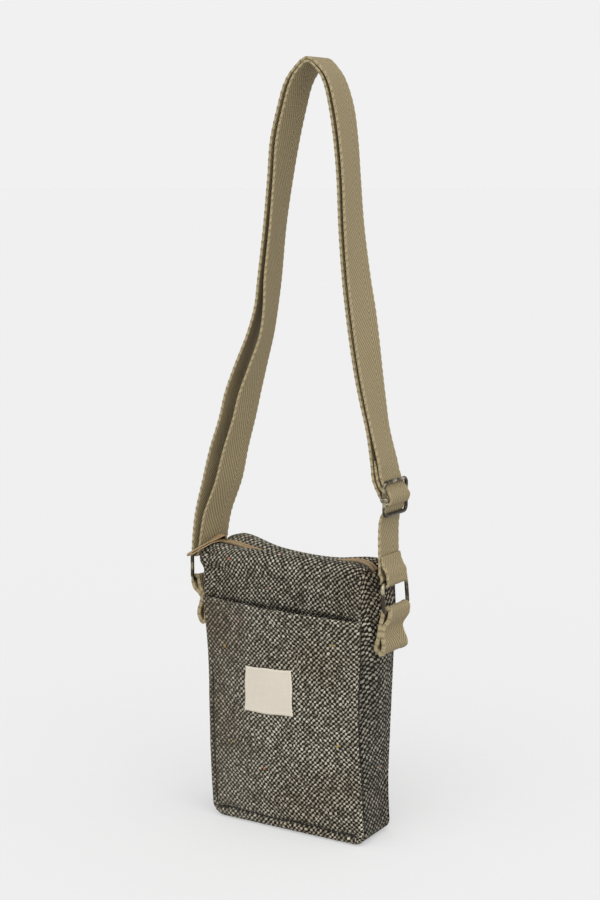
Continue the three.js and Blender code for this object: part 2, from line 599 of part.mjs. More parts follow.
// Strap: one webbing, from the end sewn round the right ring, through the adjuster, over the top as the
// outer ply, round the left ring, back over the top as the inner ply, to the end sewn round the adjuster's bar
function strap() {
  const radians = THREE.MathUtils.degToRad;
  const point = (x, z, twist = 0) => new THREE.Vector3(x, radians(twist), z);
  const rightBar = { x: RING_RIGHT.x, z: RING_RIGHT.z + RING.height / 2 };
  const leftBar = { x: RING_LEFT.x, z: RING_LEFT.z + RING.height / 2 };
  const flap = (row, share) => point(RING_END.x + row.inside + share * row.apart, RING_END.z - row.down);
  const beside = (row) => point(ADJUSTER.x + row.x, ADJUSTER.z + row.z);
  const pass = (side) => {
    const post = ADJUSTER.height / 2;
    const outside = beside({ x: FRAME_PASS.outsideX, z: side * (post + FRAME_PASS.outside) });
    const inside = beside({ x: FRAME_PASS.insideX, z: side * (post - FRAME_PASS.inside) });
    return side < 0 ? [outside, inside] : [inside, outside];
  };
  const barX = ADJUSTER.x - ADJUSTER_BAR.inset;
  const barWrap = ADJUSTER.wire / 2 + WRAP_GAP + WEB / 2;
  const overWrap = barWrap + WEB + WRAP_GAP + OVER_BAR.slack;
  const rise = STRAP_SIDES.filter((row) => row.rightApart > 0);
  const outerLeft = (row) => point(row.left - row.leftApart, row.z, row.leftTwist);
  const innerLeft = (row) => point(row.left, row.z, row.leftTwist);
  const outerRight = (row) => point(row.right, row.z, row.rightTwist);
  const innerRight = (row) => point(row.right - row.rightApart, row.z, row.rightTwist);
  const route = [
    ...RING_FLAP.map((row) => flap(row, 1)),
    ...around(rightBar.x, rightBar.z, WRAP, 30, -210, 0),
    ...RING_FLAP.toReversed().map((row) => flap(row, 0)),
    ...pass(-1),
    ...around(barX, ADJUSTER.z, overWrap, OVER_BAR.from, OVER_BAR.to, 0),
    ...pass(1),
    ...rise.map(outerRight),
    point(STRAP_TOP.x, STRAP_TOP.z),
    ...STRAP_SIDES.toReversed().map(outerLeft),
    ...around(leftBar.x, leftBar.z, WRAP, 180, 360, radians(RING_LEFT.yaw)),
    ...STRAP_SIDES.map(innerLeft),
    point(STRAP_TOP.x, STRAP_TOP.z - STRAP_TOP.apart),
    ...rise.toReversed().map(innerRight),
    beside(BAR_ENTRY),
    ...around(barX, ADJUSTER.z, barWrap, BAR_ENTRY.from, BAR_ENTRY.to, 0),
    ...BAR_TAIL.map(beside),
  ];
  return webbing(route, false, WEB_WIDTH, WEB);
}

// Adjuster: a wire frame, and a bar whose ends are bent round the frame's two posts
function adjusterFrame() {
  const body = wireFrame(ADJUSTER.width, ADJUSTER.height, ADJUSTER.corner, ADJUSTER.wire);
  body.translate(ADJUSTER.x, 0, ADJUSTER.z);
  return body;
}

function adjusterBar() {
  const bore = ADJUSTER.wire / 2 + SEW_GAP;
  const rim = bore + ADJUSTER_BAR.eyeWall;
  const half = ADJUSTER_BAR.eyeHeight / 2;
  const profile = [[bore, -half], [rim, -half], [rim, half], [bore, half], [bore, -half]];
  const eyes = [-1, 1].map((side) => {
    const eye = new THREE.LatheGeometry(profile.map(([r, h]) => new THREE.Vector2(r, h)), 2 * WIRE_SIDES);
    eye.rotateX(Math.PI / 2);
    eye.translate(0, side * ADJUSTER.width / 2, 0);
    return eye;
  });
  const span = ADJUSTER.width - bore - rim;
  const rod = new THREE.CylinderGeometry(ADJUSTER.wire / 2, ADJUSTER.wire / 2, span, WIRE_SIDES);
  rod.rotateY(Math.PI / WIRE_SIDES);
  rod.translate(-ADJUSTER_BAR.inset, 0, 0);
  const body = joined([...eyes, rod]);
  body.translate(ADJUSTER.x, 0, ADJUSTER.z);
  return body;
}

const tweed = { color: 0x6a6557, roughness: 0.95, metalness: 0 };
const cotton = { color: 0x96896a, roughness: 0.9, metalness: 0 };
const zipCloth = { color: 0xa08a68, roughness: 0.85, metalness: 0 };
const wireMetal = { color: 0x8b8371, roughness: 0.35, metalness: 1 };
const labelCloth = { color: 0xe4ddce, roughness: 0.9, metalness: 0 };

const bag = new THREE.Group();
function add(name, geometry, look) {
  const mesh = new THREE.Mesh(geometry, new THREE.MeshStandardMaterial(look));
  mesh.name = name;
  bag.add(mesh);
}

add('front_panel', panel(-1), tweed);
add('back_panel', panel(1), tweed);
add('gusset', gusset(), tweed);
add('front_pocket', pocket(), tweed);
add('label', label(), labelCloth);
add('zip_tape_front', zipTape(-1), zipCloth);
add('zip_tape_back', zipTape(1), zipCloth);
add('zip_coil', zipCoil(), zipCloth);
add('zip_slider', slider(), wireMetal);
add('zip_puller', puller(), zipCloth);
add('ring_left', ring(RING_LEFT), wireMetal);
add('ring_right', ring(RING_RIGHT), wireMetal);
add('tab_left', tab(RING_LEFT, TAB_LEFT), cotton);
add('tab_right', tab(RING_RIGHT, TAB_RIGHT), cotton);
add('adjuster_frame', adjusterFrame(), wireMetal);
add('adjuster_bar', adjusterBar(), wireMetal);
add('strap', strap(), cotton);
bag.position.set(-HANG.x, 0, -HANG.z);

const part = new THREE.Group();
part.add(bag);
export default part;
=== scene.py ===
"""Looks of a small tweed phone bag with a doubled webbing strap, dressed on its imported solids."""
import json
import math
from functools import partial
from types import SimpleNamespace as Sizes

import bpy
import numpy as np
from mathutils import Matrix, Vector


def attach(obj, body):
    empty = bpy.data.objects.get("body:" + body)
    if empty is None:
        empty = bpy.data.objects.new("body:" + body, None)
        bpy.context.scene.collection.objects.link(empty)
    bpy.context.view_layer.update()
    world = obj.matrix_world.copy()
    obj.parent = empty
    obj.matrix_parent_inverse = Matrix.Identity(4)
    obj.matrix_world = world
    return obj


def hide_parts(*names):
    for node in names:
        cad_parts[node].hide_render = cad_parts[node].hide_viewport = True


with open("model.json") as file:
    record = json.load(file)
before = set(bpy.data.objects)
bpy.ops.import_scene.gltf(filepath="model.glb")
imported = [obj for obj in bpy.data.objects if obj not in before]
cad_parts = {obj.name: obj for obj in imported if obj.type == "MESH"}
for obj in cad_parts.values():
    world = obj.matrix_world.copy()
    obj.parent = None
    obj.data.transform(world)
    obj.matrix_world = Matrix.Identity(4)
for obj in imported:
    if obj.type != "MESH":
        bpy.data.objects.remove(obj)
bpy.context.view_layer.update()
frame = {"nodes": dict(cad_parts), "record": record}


# Front panel: wool tweed in a coarse plain weave, a light warp over a dark weft, with a firm backing.
# It is cut to the height of the bag, its side edges turn in at the seams, and its top rolls over to
# the zip with a tuck at each end. All places here are millimetres from the centre of the bag's base.
MM = 0.001
base = Vector(next(m["pos_m"] for m in frame["record"]["mounts"] if m["name"] == "base_face"))
half_depth = 19.0
half_width = 58.0
cloth = 1.8
corner_radius = 8.0
zip_half_width = 5.0
tape_thick = 1.0
pillow_depth = 4.5
pillow_height = 186.0
panel_thread = 1.57
panel_roll = 2.0

side_seams = {
    "z": (0, 12, 35, 70, 100, 122, 150, 167, 190),
    "left": (-58.5, -59.6, -61.0, -61.9, -62.3, -63.4, -66.6, -68.2, -76.0),
    "right": (60.0, 58.9, 57.4, 54.8, 54.3, 55.2, 55.4, 54.4, 51.8),
    "back_left": (-58.5, -59.6, -61.0, -61.9, -62.3, -62.6, -62.8, -62.2, -61.0),
    "back_right": (58.6, 57.6, 56.8, 58.0, 59.3, 60.2, 61.4, 60.8, 58.0),
}
top_edge = {
    "across": (-1.0, -0.8, -0.4, 0.0, 0.4, 0.8, 1.0),
    "front": (184, 186, 190, 190.5, 190, 187.3, 184.5),
    "front_start": (174, 166, 163, 163, 163, 163, 167),
    "zip": (184.4, 185.2, 181.0, 179.2, 180.4, 184.0, 181.4),
    "back": (191, 195, 188, 185, 184.5, 187.5, 189),
    "back_start": (163, 163, 163, 163, 163, 163, 163),
}
pocket_top = {"across": (-1, 1), "z": (152.2, 149.8)}
slack_waves = Sizes(short=0.35, long=0.25)
corner_pull = Sizes(deep=2.0, z=170.0, high=4.5)
lip = Sizes(lean=0.6, reach=5.5, below=4.0, above=2.0)
wall_steps = 160
lip_steps = 80
yarn_height = 0.2


def hermite(t, start, start_slope, end, end_slope):
    """Cubic from a start to an end with the slopes given there."""
    leaving = (2 * t**3 - 3 * t**2 + 1) * start + (t**3 - 2 * t**2 + t) * start_slope
    return leaving + (3 * t**2 - 2 * t**3) * end + (t**3 - t**2) * end_slope


def smooth(table, column, at):
    """Cubic through one column of a table, by the table's first column."""
    keys = np.array(next(iter(table.values())), float)
    values = np.array(table[column], float)
    order = np.arange(len(keys))
    ahead = np.minimum(order + 1, len(keys) - 1)
    behind = np.maximum(order - 1, 0)
    slopes = (values[ahead] - values[behind]) / (keys[ahead] - keys[behind])
    at = np.clip(at, keys[0], keys[-1])
    i = np.clip(np.searchsorted(keys, at, side="right") - 1, 0, len(keys) - 2)
    span = keys[i + 1] - keys[i]
    return hermite((at - keys[i]) / span, values[i], span * slopes[i], values[i + 1], span * slopes[i + 1])


def unit(vectors):
    """Vectors made one unit long."""
    return vectors / (np.linalg.norm(vectors, axis=-1, keepdims=True) + 1e-9)


def xyz(x, y, z):
    """Points from their coordinates."""
    return np.stack(np.broadcast_arrays(x, y, z), axis=-1)


def ridge(distance, middle, width):
    """Bell that is 1 at its middle, for grooves, folds and dents."""
    return np.exp(-((distance - middle) / width)**2)


def rolled(run, radius):
    """Distance in from a seam, and depth behind the face, of cloth at a length from its rolled edge."""
    turn = np.clip(run / radius, 0, math.pi / 2)
    past = np.maximum(run - radius * math.pi / 2, 0)
    return radius * (1 - np.cos(turn)) + past, radius * (1 - np.sin(turn))


def roll_extra(radius):
    """Length of cloth that a rolled edge takes up beyond the flat."""
    return radius * (math.pi / 2 - 1)


def side_x(side, z, y):
    """Side seam of the bag at a height and a depth. The front left corner is pulled in below the zip."""
    front = smooth(side_seams, side, z)
    back = smooth(side_seams, "back_" + side, z)
    x = front + (back - front) * np.clip(y / half_depth / 2 + 0.5, 0, 1)
    if side == "left":
        pull = corner_pull.deep * ridge(z, corner_pull.z, corner_pull.high)
        x = x + pull * np.clip(-y / half_depth, 0, 1)**2
    return x


def across_x(across, z, y):
    """Place between the side seams, from -1 to 1."""
    left = side_x("left", z, y)
    return left + (side_x("right", z, y) - left) * (across + 1) / 2


def round_corner(across, z):
    """Moves cloth near the bottom corners onto their rounding, ring by ring."""
    in_x = corner_radius - (1 - np.abs(across)) * half_width
    in_z = corner_radius - z
    in_corner = (in_x > 0) & (in_z > 0)
    shrink = np.where(in_corner, np.maximum(in_x, in_z) / (np.hypot(in_x, in_z) + 1e-9), 1)
    new_across = np.sign(across) * (1 - (corner_radius - in_x * shrink) / half_width)
    return np.where(in_corner, new_across, across), np.where(in_corner, corner_radius - in_z * shrink, z)


def pillow(across, z):
    """Swell of a panel, fullest low in the middle and nothing at the seams, with slack in the cloth."""
    height = np.clip(z / pillow_height, 0, 1)
    share = np.clip(1 - across**2, 0, 1)**1.5 * np.sin(math.pi * height**0.8)**0.8
    slack = slack_waves.short * np.sin(7.1 * across + z / 17) * np.sin(z / 11 - 2.3 * across + 0.8)
    slack = slack + slack_waves.long * np.sin(4.3 * across - z / 29 + 2.0)
    return share * (pillow_depth + slack)


def panel_section(face, across, runs):
    """A panel's section at shares of its cloth up from the base: place, outward way and rolled depth."""
    name = "front" if face < 0 else "back"
    crest = smooth(top_edge, name, across)
    start = smooth(top_edge, name + "_start", across)
    end = smooth(top_edge, "zip", across) + tape_thick / 2
    wall_z = np.linspace(0, 1, wall_steps)[:, None] * start
    wall_y = half_depth + pillow(across, wall_z)
    t = np.linspace(0, 1, lip_steps)[1:, None]
    weights = ((1 - t)**3, 3 * t * (1 - t)**2, 3 * t**2 * (1 - t), t**3)
    lip_y = (wall_y[-1], wall_y[-1] + lip.lean, zip_half_width + lip.reach, zip_half_width)
    lip_z = (start, crest - lip.below, crest + lip.above, end)
    y = np.vstack([wall_y, sum(w * p for w, p in zip(weights, lip_y))])
    z = np.vstack([wall_z, sum(w * p for w, p in zip(weights, lip_z))])
    step_y = np.gradient(y, axis=0)
    step_z = np.gradient(z, axis=0)
    size = np.hypot(step_y, step_z)
    steps = np.hypot(np.diff(y, axis=0), np.diff(z, axis=0))
    length = np.vstack([np.zeros(across.size), np.cumsum(steps, axis=0)])
    found = np.empty((4, runs.size, across.size))
    depths = np.empty((runs.size, across.size))
    for k in range(across.size):
        cut, depths[:, k] = rolled(runs * (length[-1, k] + roll_extra(panel_roll)), panel_roll)
        for row, values in enumerate((y, z, step_z / size, -step_y / size)):
            found[row, :, k] = np.interp(cut, length[:, k], values[:, k])
    return (*found, depths)


def rolled_columns(half, roll, threads):
    """Places across a sheet for its columns of half threads, and how deep each lies in the rolled edge."""
    reach = half + roll_extra(roll)
    along = np.linspace(-reach, reach, 2 * threads + 1)
    inset, depth = rolled(reach - np.abs(along), roll)
    return np.sign(along) * (half - inset), depth


def panel_columns(roll, thread):
    """Columns of a panel as places from -1 to 1, with their depths and thread counts."""
    threads = round(2 * (half_width + roll_extra(roll)) / thread)
    x, depth = rolled_columns(half_width, roll, threads)
    return x / half_width, depth, np.linspace(0, threads, x.size)


def panel_points(face, threads_up):
    """Outer face of a panel, rolled in at its seams, and its thread counts."""
    across, edge_depth, count = panel_columns(panel_roll, panel_thread)
    runs = np.linspace(0, 1, 2 * threads_up + 1)
    y, z, out_y, out_z, depth = panel_section(face, across, runs)
    depth = np.maximum(depth, edge_depth)
    across, z = round_corner(np.broadcast_to(across, z.shape), z)
    y = face * (y - out_y * depth)
    z = z - out_z * depth
    u, v = np.meshgrid(count, np.linspace(0, threads_up, runs.size))
    return across, xyz(across_x(across, z, y), y, z), u, v


def woven(u, v, weft_skew, warp_skew):
    """Thread counts of cloth that lies a little off its grain, with yarns that wander."""
    turn = 2 * math.pi
    slow, quick = 0.13, 0.09
    drift_u = slow * np.sin(turn * (u / 19 + v / 43) + 0.7) + quick * np.sin(turn * (u / 8.3 - v / 27) + 2.1)
    drift_v = slow * np.sin(turn * (v / 21 - u / 37) + 1.9) + quick * np.sin(turn * (v / 9.1 + u / 31) + 0.4)
    return u + warp_skew * v + drift_u, v - weft_skew * u + drift_v


def weave_relief(u, v):
    """Height of the weave at a place counted in threads."""
    return yarn_height * np.abs(np.sin(math.pi * u) * np.sin(math.pi * v))


def started(add_primitive, **settings):
    """A primitive to start a piece from, with nothing else selected."""
    bpy.ops.object.select_all(action="DESELECT")
    add_primitive(**settings)
    return bpy.context.object


def settle(piece, name):
    """Names a shaped piece and puts its place into its mesh."""
    piece.name = name
    piece.data.name = name
    bpy.ops.object.transform_apply(location=True, rotation=True, scale=True)


def modified(piece, kind, **settings):
    """Gives a piece a modifier with its settings, and applies it."""
    modifier = piece.modifiers.new(kind, kind)
    for name, value in settings.items():
        setattr(modifier, name, value)
    bpy.ops.object.modifier_apply(modifier=modifier.name)


def cloth_piece(name, points, threads, thick, relief=None):
    """A grid of cloth set to rows of points, with its threads counted in the UV map and given a thickness."""
    rows, columns = points.shape[:2]
    piece = started(bpy.ops.mesh.primitive_grid_add, x_subdivisions=columns - 1, y_subdivisions=rows - 1)
    settle(piece, name)
    if relief is not None:
        normal = unit(np.cross(np.gradient(points, axis=1), np.gradient(points, axis=0)))
        points = points + normal * relief[..., None]
    placed = points.reshape(-1, 3) * MM + np.array(base)
    piece.data.vertices.foreach_set("co", placed.astype(np.float32).ravel())
    corners = np.empty(len(piece.data.loops), np.int32)
    piece.data.loops.foreach_get("vertex_index", corners)
    counted = np.stack(threads, axis=-1).reshape(-1, 2)[corners]
    piece.data.uv_layers[0].data.foreach_set("uv", counted.astype(np.float32).ravel())
    piece.data.update()
    if thick:
        modified(piece, "SOLIDIFY", thickness=thick * MM, offset=-1)
    bpy.ops.object.shade_smooth_by_angle(angle=math.radians(70))
    return piece


def dress(piece, material, slot, *nodes):
    """Gives a finished piece its material and its body, and hides the solids that it stands for."""
    piece.data.materials.append(material)
    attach(piece, "root")
    if nodes:
        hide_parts(*nodes)


def colour(code):
    """Linear colour of an sRGB hex code."""
    parts = [int(code[k:k + 2], 16) / 255 for k in (1, 3, 5)]
    return (*[c / 12.92 if c <= 0.04045 else ((c + 0.055) / 1.055)**2.4 for c in parts], 1.0)


def plug(made, inputs):
    """Sets a node's inputs: a hex code is a colour, a node or socket is linked, and the rest are values."""
    for socket, value in inputs.items() if isinstance(inputs, dict) else enumerate(inputs):
        if isinstance(value, bpy.types.Node):
            value = next(out for out in value.outputs if out.enabled)
        if isinstance(value, bpy.types.NodeSocket):
            made.id_data.links.new(value, made.inputs[socket])
        else:
            made.inputs[socket].default_value = colour(value) if isinstance(value, str) else value


def node(tree, kind, inputs=(), **settings):
    """Adds a shader node with its settings, values and links, its inputs in order or by name."""
    made = tree.nodes.new("ShaderNode" + kind)
    for name, value in settings.items():
        setattr(made, name, value)
    plug(made, inputs)
    return made


def yarn_tone(add, threads, stretch, scale):
    """Tone that changes from yarn to yarn, and slowly along each yarn of one set."""
    drawn_out = add("VectorMath", (threads, stretch), operation="MULTIPLY")
    return add("TexNoise", {"Vector": drawn_out, "Scale": scale, "Detail": 2.0})


def blended(add, value, low, high, colours, most=1.0, **settings):
    """Colour that goes from one to another, or a share of the way, as a value goes from low to high."""
    share = add("MapRange", {0: value, 1: low, 2: high, 4: most}, **settings)
    return add("Mix", {0: share, 6: colours[0], 7: colours[1]}, data_type="RGBA")


def new_material(name):
    """A material, the way to add nodes to it, and its shader."""
    material = bpy.data.materials.new(name)
    material.use_nodes = True
    tree = material.node_tree
    return material, partial(node, tree), tree.nodes["Principled BSDF"]


# Wool tweed: soft matt yarn. The eye sees cream dots of warp in a checker of near-black and olive
# weft, dots that run together on one diagonal or the other, a few flecks, and a drift towards brown
# and fainter dots on the left, where the cloth is rubbed.
tweed, add, shader = new_material("wool_tweed")
wander = 1.3
even_uv = add("UVMap", uv_map="UVMap")
stray = add("TexNoise", {"Vector": even_uv, "Scale": 0.55, "Detail": 1.0}).outputs["Color"]
strayed_uv = add("VectorMath", (stray, (wander, wander, 0.0), even_uv), operation="MULTIPLY_ADD")
threads_uv = add("VectorMath", (strayed_uv, (wander / 2, wander / 2, 0.0)), operation="SUBTRACT")
split = add("SeparateXYZ", (threads_uv,))
waves = []
for way in ("SUBTRACT", "ADD"):
    diagonal = add("Math", (split.outputs[0], split.outputs[1]), operation=way)
    phase = add("Math", (diagonal, math.pi), operation="MULTIPLY")
    waves.append(add("Math", (phase,), operation="COSINE"))
lie = add("TexNoise", {"Vector": threads_uv, "Scale": 0.07, "Detail": 1.0})
lean = add("MapRange", (lie, 0.3, 0.7, 0.46, 0.6))
both = add("Math", waves, operation="ADD")
leaning = add("Math", (both, lean), operation="MULTIPLY")
over = add("Math", (leaning, waves[1]), operation="SUBTRACT")
warp_tone = yarn_tone(add, threads_uv, (1.0, 0.09, 1.0), 0.9)
weft_tone = yarn_tone(add, threads_uv, (0.09, 1.0, 1.0), 0.9)
fibre = add("TexNoise", {"Vector": threads_uv, "Scale": 4.0, "Detail": 3.0})
cell = add("VectorMath", (threads_uv,), operation="FLOOR")
chance = add("TexWhiteNoise", {"Vector": cell}, noise_dimensions="2D")
warp_mixed = add("Math", (warp_tone, 1.6, chance), operation="MULTIPLY_ADD")
warp_colour = blended(add, warp_mixed, 0.5, 1.97, ("#655f4f", "#c9c4b3"))
weft_colour = blended(add, weft_tone, 0.3, 0.7, ("#0d0b06", "#262015"))
dot_size = add("Math", (chance, 0.14, over), operation="MULTIPLY_ADD")
fuzzy = add("Math", (fibre, 0.8, dot_size), operation="MULTIPLY_ADD")
yarns = blended(add, fuzzy, 0.23, 1.15, (weft_colour, warp_colour), interpolation_type="SMOOTHSTEP",
                name="shows")
object_place = add("TexCoord").outputs["Object"]
from_left = add("SeparateXYZ", (object_place,)).outputs[0]
rubbed_yarns = blended(add, from_left, -15 * MM, -70 * MM, (yarns, "#5a554b"), 0.32, name="worn")
is_fleck = add("Math", (chance, 0.9988), operation="GREATER_THAN")
fleck_share = add("Math", (is_fleck, 0.75), operation="MULTIPLY")
fleck_kind = add("SeparateColor", (chance.outputs["Color"],)).outputs[1]
fleck_ramp = add("ValToRGB", (fleck_kind,))
fleck_ramp.color_ramp.interpolation = "CONSTANT"
fleck_ramp.color_ramp.elements[0].color = colour("#a85f38")
fleck_ramp.color_ramp.elements[1].color = colour("#7b4038")
fleck_ramp.color_ramp.elements[1].position = 0.7
fleck_ramp.color_ramp.elements.new(0.4).color = colour("#a08a3a")
flecked = add("Mix", {0: fleck_share, 6: rubbed_yarns, 7: fleck_ramp}, data_type="RGBA")
patch = add("TexNoise", {"Vector": object_place, "Scale": 1 / (70 * MM), "Detail": 1.0})
faded = add("MapRange", {0: from_left, 1: -30 * MM, 2: -75 * MM, 4: 0.14})
browner = add("Math", (patch, faded), operation="ADD")
brown = add("MapRange", {0: browner, 1: 0.45, 2: 0.8, 4: 0.55})
tinted = add("Mix", {0: brown, 6: flecked, 7: "#b89a78"}, data_type="RGBA", blend_type="MULTIPLY")
toned = add("Mix", {0: 1.0, 6: tinted, 7: "#ffffff"}, data_type="RGBA", blend_type="MULTIPLY", name="tone")
yarn = add("Math", (over,), operation="ABSOLUTE")
height = add("Math", (fibre, 0.6, yarn), operation="MULTIPLY_ADD")
relief_bump = add("Bump", {"Height": height, "Strength": 0.8, "Distance": 0.4 * MM})
plug(shader, {
    "Base Color": toned, "Roughness": 0.95, "Sheen Weight": 0.03, "Specular IOR Level": 0.2,
    "Normal": relief_bump,
})


def darker_tweed_copy(name, tone, low, high):
    """The same tweed, made darker by a tone, with firmer or softer dots."""
    lie = tweed.copy()
    lie.name = name
    plug(lie.node_tree.nodes["tone"], {7: tone})
    plug(lie.node_tree.nodes["shows"], {1: low, 2: high})
    return lie


# The upper front panel's copy is a little darker than the pocket's tweed.
upper_tweed = darker_tweed_copy("wool_tweed_upper_darker", "#eaeaea", 0.28, 1.14)
plug(upper_tweed.node_tree.nodes["worn"], {4: 0.05})
# The gusset's darker copy is painted shade: it darkens the bag's side as if less light fell on it.
gusset_tweed = darker_tweed_copy("wool_tweed_painted_side_shade", "#c8c8c8", 0.45, 0.9)

# The gusset's painted shade is darkest low down and fades out towards its top, where the gusset is as light
# as the front.
add = partial(node, gusset_tweed.node_tree)
up_bag = add("SeparateXYZ", (add("TexCoord").outputs["Object"],)).outputs[2]
gusset_shade_fade = blended(add, up_bag, base.z + 112 * MM, base.z + 150 * MM, ("#c2c2c2", "#ffffff"))
plug(gusset_tweed.node_tree.nodes["tone"], {7: gusset_shade_fade})

panel_skew = (0.035, -0.10)
panel_threads_up = 119
behind_pocket = Sizes(inset=2.4, below=5.0, ease=1.0, lift_height=30.0)
mouth = Sizes(below=2.0, high=3.0, deep=3.2, deeper_right=1.6)
across, points, u, v = panel_points(-1, panel_threads_up)
opening = smooth(pocket_top, "z", across)
behind = 1 / (1 + np.exp((points[..., 2] - opening + behind_pocket.below) / behind_pocket.ease))
points[..., 0] -= behind * across * behind_pocket.inset
points[..., 2] += np.clip(1 - points[..., 2] / behind_pocket.lift_height, 0, 1) * behind_pocket.inset
recess = ridge(points[..., 2], opening - mouth.below, mouth.high) * np.clip(1 - across**8, 0, 1)
points[..., 1] += (mouth.deep + mouth.deeper_right * across) * recess
tucks = {
    "x": (-64.5, -56.5, 49.5, 52.5),
    "z": (180.3, 171.6, 181.0, 175.3),
    "wide": (5.0, 7.0, 1.1, 3.5),
    "high": (1.3, 1.7, 4.0, 0.9),
    "deep": (2.8, 2.8, 1.8, 1.5),
}
for x, z, wide, high, deep in zip(*tucks.values()):
    points[..., 1] += deep * ridge(points[..., 0], x, wide) * ridge(points[..., 2], z, high)
threads = woven(u, v, *panel_skew)
front = cloth_piece("front_panel_tweed", points, threads, cloth, weave_relief(*threads))
dress(front, upper_tweed, "tweed", "front_panel")


# Back panel: the same tweed, cut as the front and sewn to the gusset the same way. It stands higher
# at its left end, where the closed end of the zip pushes it up.
across, points, u, v = panel_points(1, panel_threads_up)
threads = woven(u, v, *panel_skew)
back = cloth_piece("back_panel_tweed", points[:, ::-1], threads, cloth, weave_relief(*threads))
dress(back, tweed, "tweed", "back_panel")


# Gusset: one strip of tweed that runs down the left side, along the base and up the right side, sewn
# edge to edge to the panels. Its sides bulge where the bag is filled, and dent where the tabs pull.
sew_gap = 0.3
gusset_half = half_depth - cloth - sew_gap
gusset_roll = 1.6
gusset_bulge = {"left": 3.8, "right": 5.0}
gusset_skew = (-0.10, 0.155)
gusset_threads = 16
gusset_threads_up = 260
gusset_below_zip = 0.8
gusset_below_lip = 0.1
lip_from = 163.0
lip_samples = 400
flat_below = 1.0
crease = {"z": (158, 110, 62, 34), "y": (-4, 5, -3, 6), "deep": (1.2, 0.9, 0.8, 1.2), "tall": (7, 10, 9, 6)}
crease_wide = 7.0
outward = {"left": -1, "right": 1}
gusset_y, gusset_depth = rolled_columns(gusset_half, gusset_roll, gusset_threads)


def run_along(points):
    """Length along a line of points, at each of them."""
    return np.concatenate([[0], np.cumsum(np.linalg.norm(np.diff(points, axis=0), axis=1))])


def at_lengths(lengths, run, points):
    """Points at lengths along a line of points."""
    return np.stack([np.interp(lengths, run, points[:, axis]) for axis in range(points.shape[1])], axis=-1)


def gusset_top(side):
    """Height of the gusset's end below the panels' rolled edges and the zip, for each place across."""
    end = np.array([float(outward[side])])
    top = np.full(gusset_y.size, smooth(top_edge, "zip", end)[0] - gusset_below_zip)
    for face in (-1, 1):
        y, z, _, _, _ = panel_section(face, end, np.linspace(0, 1, lip_samples))
        on_lip = z[:, 0] > lip_from
        order = np.argsort(y[on_lip, 0])
        lip_z = np.interp(np.abs(gusset_y), y[on_lip, 0][order], z[on_lip, 0][order])
        under = face * gusset_y > zip_half_width
        top[under] = lip_z[under] - panel_roll - gusset_below_lip
    return top


def gusset_side(side, share):
    """Side of the gusset at a share of the way up, for each place across."""
    sign = outward[side]
    top = gusset_top(side)
    z = corner_radius + (top - corner_radius) * share[:, None]
    swell = (1 - (gusset_y / gusset_half)**2) * np.sin(math.pi * share[:, None]**1.8)**0.9
    x = side_x(side, z, gusset_y) + sign * gusset_bulge[side] * swell
    for at_z, at_y, deep, tall in zip(*crease.values()):
        x = x - sign * deep * ridge(z, at_z, tall) * ridge(gusset_y, at_y, crease_wide)
    depth = np.maximum(gusset_depth, rolled(top - z, gusset_roll)[1])
    return xyz(x - sign * depth, gusset_y, z)


def gusset_corner(side, turn):
    """Rounded bottom corner of the gusset, from its side (0) to the base (1)."""
    sign = outward[side]
    angle = turn[:, None] * math.pi / 2
    rim = side_x(side, np.array(corner_radius), gusset_y)
    floor_x = side_x(side, np.array(0.0), gusset_y) - sign * corner_radius
    shrink = 1 - gusset_depth / corner_radius
    x = floor_x + (rim - floor_x) * np.cos(angle) * shrink
    z = corner_radius * (1 - np.sin(angle) * shrink)
    return xyz(x, gusset_y, z)


climb = np.linspace(0, 1, 300)
turn = np.linspace(0, 1, 24)[1:]
strip = np.concatenate([
    gusset_side("left", climb[::-1]), gusset_corner("left", turn),
    gusset_corner("right", turn[::-1]), gusset_side("right", climb),
])
length = run_along(strip[:, gusset_y.size // 2])
even = np.linspace(0, length[-1], 2 * gusset_threads_up + 1)
points = np.empty((even.size, gusset_y.size, 3))
for column in range(gusset_y.size):
    points[:, column] = at_lengths(even, length, strip[:, column])
count_up = np.linspace(0, gusset_threads_up, even.size)
u, v = np.meshgrid(np.linspace(0, gusset_threads, gusset_y.size), count_up)
threads = woven(u, v, *gusset_skew)
relief = np.where(points[..., 2] < flat_below, 0.0, weave_relief(*threads))
gusset = cloth_piece("gusset_tweed", points, threads, cloth, relief)
dress(gusset, gusset_tweed, "tweed", "gusset")


# Front pocket: a patch of the same tweed over the lower front, caught in the side and bottom seams.
# Its folded top edge gapes a little, and a row of stitches round its edge draws it down in a groove.
pocket_roll = 2.4
hem_roll = 3.5
pocket_fold = 0.9
gape = Sizes(out=3.6, deep=45.0, more_right=0.7)
hem = Sizes(height=7.0, deep=3.2, wide=1.4, ends_drop=2.0, stray=0.5, waver=0.3, pucker=0.3)
left_edge = Sizes(inset=4.0, deep=1.7, wide=1.1, rise=6.0, end=122.0, fade=28.0)
pocket_thread = 1.75
pocket_skew = (0.10, 0.05)
pocket_threads_up = 91


def hem_line(across):
    """Height of the sewn line above the pocket's bottom edge, which strays a little."""
    run = half_width * across
    strayed = hem.stray * np.sin(run / 8.5) + hem.waver * np.sin(run / 3.7 + 1)
    return hem.height - hem.ends_drop * across**6 + strayed


def groove(across, z):
    """Depth of the sewn groove along the pocket's bottom and up its left edge, with puckers in the hem."""
    line = hem_line(across)
    pucker = hem.pucker * np.sin(half_width * across / 1.3) * ridge(z, 0.4 * line, 2.0)
    bottom = np.clip(1 - across**10, 0, 1) * (hem.deep * ridge(z, line, hem.wide) + pucker)
    up_left = ridge((across + 1) * half_width, left_edge.inset, left_edge.wide)
    above_hem = np.clip((z - line) / left_edge.rise, 0, 1)
    below_end = np.clip((left_edge.end - z) / left_edge.fade, 0, 1)
    return bottom + left_edge.deep * up_left * above_hem * below_end


